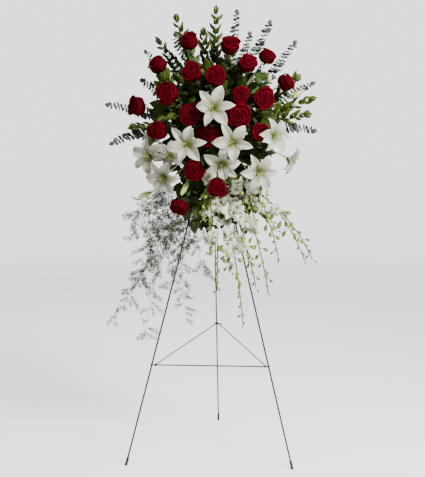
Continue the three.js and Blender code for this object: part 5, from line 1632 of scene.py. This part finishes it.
@dataclass
class FernTrails:
    """Asparagus fern: thin trails with side branches whose twigs end in tufts of needles."""

    node: str = "plumosus_trails"
    branch_gap: float = 10.0
    branch_length: float = 44.0
    needle: float = 8.5
    bare_above: float = 0.12
    bare_below: float = 0.42
    seed: int = 1200
    trails: Sequence[tuple[Triple, Triple, float]] = (  # the tip, the elbow and where the branches start
        ((-365, 120, 500), (-230, 80, 700), 0.3),
        ((-320, 120, 870), (-220, 90, 960), 0.4),
        ((-240, 100, 440), (-200, 70, 780), 0.3),
        ((-85, 100, 495), (-130, 60, 780), 0.3),
        ((-30, 120, 680), (-60, 80, 850), 0.35),
        ((-265, 110, 640), (-235, 80, 900), 0.35),
        ((-150, 110, 600), (-140, 70, 860), 0.35),
        ((-205, 90, 700), (-195, 60, 930), 0.35),
        ((-95, 110, 720), (-100, 80, 900), 0.3),
        ((-285, 90, 780), (-255, 80, 960), 0.4),
        ((-235, 120, 740), (-190, 90, 960), 0.35),
        ((-175, 70, 700), (-150, 60, 920), 0.35),
        ((-300, 110, 860), (-250, 90, 990), 0.4),
        ((-60, 110, 780), (-70, 70, 920), 0.3),
        ((-130, 60, 820), (-110, 50, 960), 0.3),
        ((-90, 60, 860), (-75, 45, 960), 0.3),
        ((-215, 60, 820), (-215, 50, 980), 0.4),
    )

    def build(self, garden: Garden) -> None:
        """Builds the trails and their needles."""
        rng = np.random.default_rng(self.seed)
        lines, tufts = [], []
        for tip, elbow, start in self.trails:
            line = HUBS[self.node].line(np.array(elbow, float), np.array(tip, float))
            lines.append((line.sampled(36), np.linspace(1.2, 0.5, 36)))
            self._branches(line, start, rng, lines, tufts)
        garden.stems("plumosus_twigs", FERN_GREEN, lines, [self.node], sides=4)
        garden.scatter("plumosus_needles", "tuft", FERN_GREEN, tufts, [self.node], spread=0.25, seed=31)

    def _branches(
        self, line: StemLine, start: float, rng: np.random.Generator, lines: list, tufts: list
    ) -> None:
        """Side branches along a trail, each with twigs on both sides."""
        shares = shares_along(line, start, self.branch_gap)
        spots = spots_along(line, shares, lambda k: (180 * (k % 2) + 20 * (k % 3 - 1),))
        for number, spot in enumerate(spots):
            if rng.random() < self.bare_above + self.bare_below * number / len(shares):
                continue
            way = spot.way(rng.uniform(5, 60), rng.uniform(-50, 50))
            length = self.branch_length * rng.uniform(0.45, 1.15)
            across = turned_to_viewer(way, spot.across, 0.7)
            bend = vec(rng.uniform(-0.3, 0.3), 0, rng.uniform(-0.4, 0.1)) * length
            middle = spot.at + way * length * 0.5 + bend * 0.25
            end = spot.at + way * length + bend
            lines.append((np.array([spot.at, middle, end]), 0.45))
            branch = StemLine(spot.at, 2 * middle - (spot.at + end) / 2, end, steps=8)
            self._twigs(branch, across, rng, lines, tufts)

    def _twigs(
        self, branch: StemLine, across: np.ndarray, rng: np.random.Generator, lines: list, tufts: list
    ) -> None:
        """Twigs on both sides of a branch, with a few tufts of needles each."""
        count = max(4, int(branch.length / 3.6))
        for k in range(1, count + 1):
            share = k / count
            at, axis = branch.at(share)
            side = (1 if k % 2 else -1) * across
            reach = 9.5 * (1.1 - 0.75 * abs(share - 0.35)) * rng.uniform(0.5, 1.2)
            way = unit(axis * 0.9 + side * 0.8 + vec(*rng.uniform(-0.5, 0.5, 3)))
            tip = at + way * reach
            lines.append((np.array([at, tip]), 0.35))
            normal = np.cross(way, across)
            for step in (0.2, 0.9):
                place = at + way * reach * step
                turn = unit(way + side * rng.uniform(-0.5, 0.5))
                aside = unit(np.cross(turn, normal + vec(*rng.uniform(-0.4, 0.4, 3))))
                tufts.append((place, turn, aside, (self.needle,) * 3, rng.uniform(0, 1)))


# the easel, the cage and the foam


@dataclass
class Easel:
    """The wire easel, the cage and the foam, which keep their CAD shapes."""

    wires: Sequence[str] = (
        "easel_leg_left",
        "easel_leg_right",
        "easel_leg_back",
        "easel_front_bar",
        "easel_hinge_pin",
        "easel_spreader_left",
        "easel_spreader_right",
    )
    feet: Sequence[str] = ("easel_foot_left", "easel_foot_right", "easel_foot_back")

    def dress(self, garden: Garden) -> None:
        """Gives the CAD nodes that stay their finishes."""
        for finish, names in (
            (WIRE_PAINT, self.wires),
            (FOOT_RUBBER, self.feet),
            (CAGE_PLASTIC, ("foam_cage",)),
            (WET_FOAM, ("foam_block",)),
        ):
            for name in names:
                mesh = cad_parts[name].data
                mesh.materials.clear()
                mesh.materials.append(garden.paints.of(finish))


# the studio


@dataclass
class Studio:
    """A pale floor, soft light and the camera."""

    camera_at: Triple = (237, -3283, 1173)
    camera_looks: Triple = (-0.0674, 0.9922, -0.1045)
    lens: float = 71.26
    sensor: float = 36.0
    backdrop: float = 2.1
    ambient: float = 0.18
    near_glow: float = 1.0
    far_glow: float = 1.85
    near: float = 2.0
    far: float = 8.0

    def build(self) -> None:
        """Builds the floor, the lights, the sky and the camera."""
        scene = bpy.context.scene
        self._floor()
        self._light("key", (2.0, -2.1, 2.9), (0.0, 0.0, 1.15), size=0.8, watts=292)
        self._light("fill", (-2.4, -2.6, 1.7), (0.0, 0.0, 0.9), size=2.2, watts=24)
        self._light("back", (-0.9, 2.6, 2.8), (0.0, 0.0, 1.2), size=1.8, watts=70)
        world = bpy.data.worlds.new("studio")
        world.use_nodes = True
        background = world.node_tree.nodes["Background"]
        background.inputs["Color"].default_value = (1, 1, 1, 1)
        strength = self._seen_or_cast(world.node_tree, self.backdrop, self.ambient)
        world.node_tree.links.new(strength, background.inputs["Strength"])
        scene.world = world
        data = bpy.data.cameras.new("camera")
        data.lens = self.lens
        data.sensor_width = self.sensor
        data.clip_end = 100
        camera = add_object("camera", data)
        camera.location = Vector((np.array(self.camera_at, float) + TO_ORIGIN) * MM)
        camera.rotation_euler = Vector(self.camera_looks).to_track_quat("-Z", "Y").to_euler()
        scene.camera = camera

    @staticmethod
    def _seen_or_cast(tree: bpy.types.NodeTree, seen: float, cast: float) -> bpy.types.NodeSocket:
        """One strength where the backdrop is seen, and another where it lights the spray."""
        rays = add_node(tree, "ShaderNodeLightPath", {})
        inputs = {"Value": rays.outputs["Is Camera Ray"], "To Min": cast, "To Max": seen}
        return add_node(tree, "ShaderNodeMapRange", inputs).outputs["Result"]

    def _floor(self) -> None:
        """A wide pale floor that glows where the camera sees it, more so far away."""
        mesh = bpy.data.meshes.new("floor")
        mesh.from_pydata([(-30, -30, 0), (30, -30, 0), (30, 30, 0), (-30, 30, 0)], [], [(0, 1, 2, 3)])
        material = bpy.data.materials.new("floor_paper")
        material.use_nodes = True
        tree = material.node_tree
        coords = add_node(tree, "ShaderNodeTexCoord", {})
        reach = add_node(tree, "ShaderNodeVectorMath", {0: coords.outputs["Object"]}, operation="LENGTH")
        steps = {"Value": reach.outputs["Value"], "From Min": self.near, "From Max": self.far}
        steps |= {"To Min": self.near_glow, "To Max": self.far_glow}
        glow = add_node(tree, "ShaderNodeMapRange", steps, interpolation_type="SMOOTHSTEP")
        factors = {0: glow.outputs["Result"], 1: self._seen_or_cast(tree, 1.0, 0.0)}
        shown = add_node(tree, "ShaderNodeMath", factors, operation="MULTIPLY")
        inputs = {
            "Base Color": (0.9, 0.9, 0.9, 1),
            "Roughness": 0.9,
            "Emission Color": (1, 1, 1, 1),
            "Emission Strength": shown.outputs[0],
        }
        feed(tree, tree.nodes["Principled BSDF"], inputs)
        mesh.materials.append(material)
        add_object("floor", mesh)

    @staticmethod
    def _light(name: str, at: Sequence[float], looks_at: Sequence[float], size: float, watts: float) -> None:
        """A square soft light that looks at a point."""
        data = bpy.data.lights.new(name, "AREA")
        data.size = size
        data.energy = watts
        light = add_object(name, data)
        light.location = at
        light.rotation_euler = (Vector(looks_at) - Vector(at)).to_track_quat("-Z", "Y").to_euler()


def make_items(garden: Garden) -> None:
    """Makes the leaves, florets, buds and tufts that are scattered."""
    for name, shape in {
        "disc_leaf": LeafShape(0.95, 0.48, 0.6, 0.1, 0.05, 0.03, 6, 5),
        "lance_leaf": LeafShape(1.0, 0.42, 0.85, 0.2, 0.1, 0.02, 6, 5),
        "broad_leaf": LeafShape(1.0, 0.45, 0.7, 0.12, 0.12, 0.012, 8, 5),
        "filler_leaf": LeafShape(0.62, 0.45, 0.75, 0.14, 0.14, 0.014, 6, 5),
        "small_leaf": LeafShape(0.5, 0.42, 0.85, 0.14, 0.1, 0.03, 4, 3),
        "rose_leaf": LeafShape(0.64, 0.42, 0.75, 0.14, 0.1, 0.015, 8, 5),
        "sepal": LeafShape(0.3, 0.25, 0.8, 0.1, -0.1, 0.04, 5, 3),
    }.items():
        garden.item(name, shape.parts())
    garden.item("floret", floret_parts())
    garden.item("bud", bud_parts())
    garden.item("tuft", tuft_parts(41))


def main() -> None:
    """Builds the spray, the easel's finishes and the studio."""
    logging.basicConfig(level=logging.INFO, format="%(message)s")
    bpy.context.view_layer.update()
    Studio().build()
    garden = Garden(Paints())
    make_items(garden)
    Easel().dress(garden)
    bunches = [StemBunch(name) for name in HUBS if name.startswith("stems_")]
    hanging = (Orchids(), FernTrails())
    greens = (FillerGreens(), FINE_FILLER, EUCALYPTUS, MYRTLE, SALAL)
    for assembly in (*ROSES, *LILIES, *bunches, *hanging, *greens):
        assembly.build(garden)
    garden.clear_items()


if __name__ == "__main__":
    main()
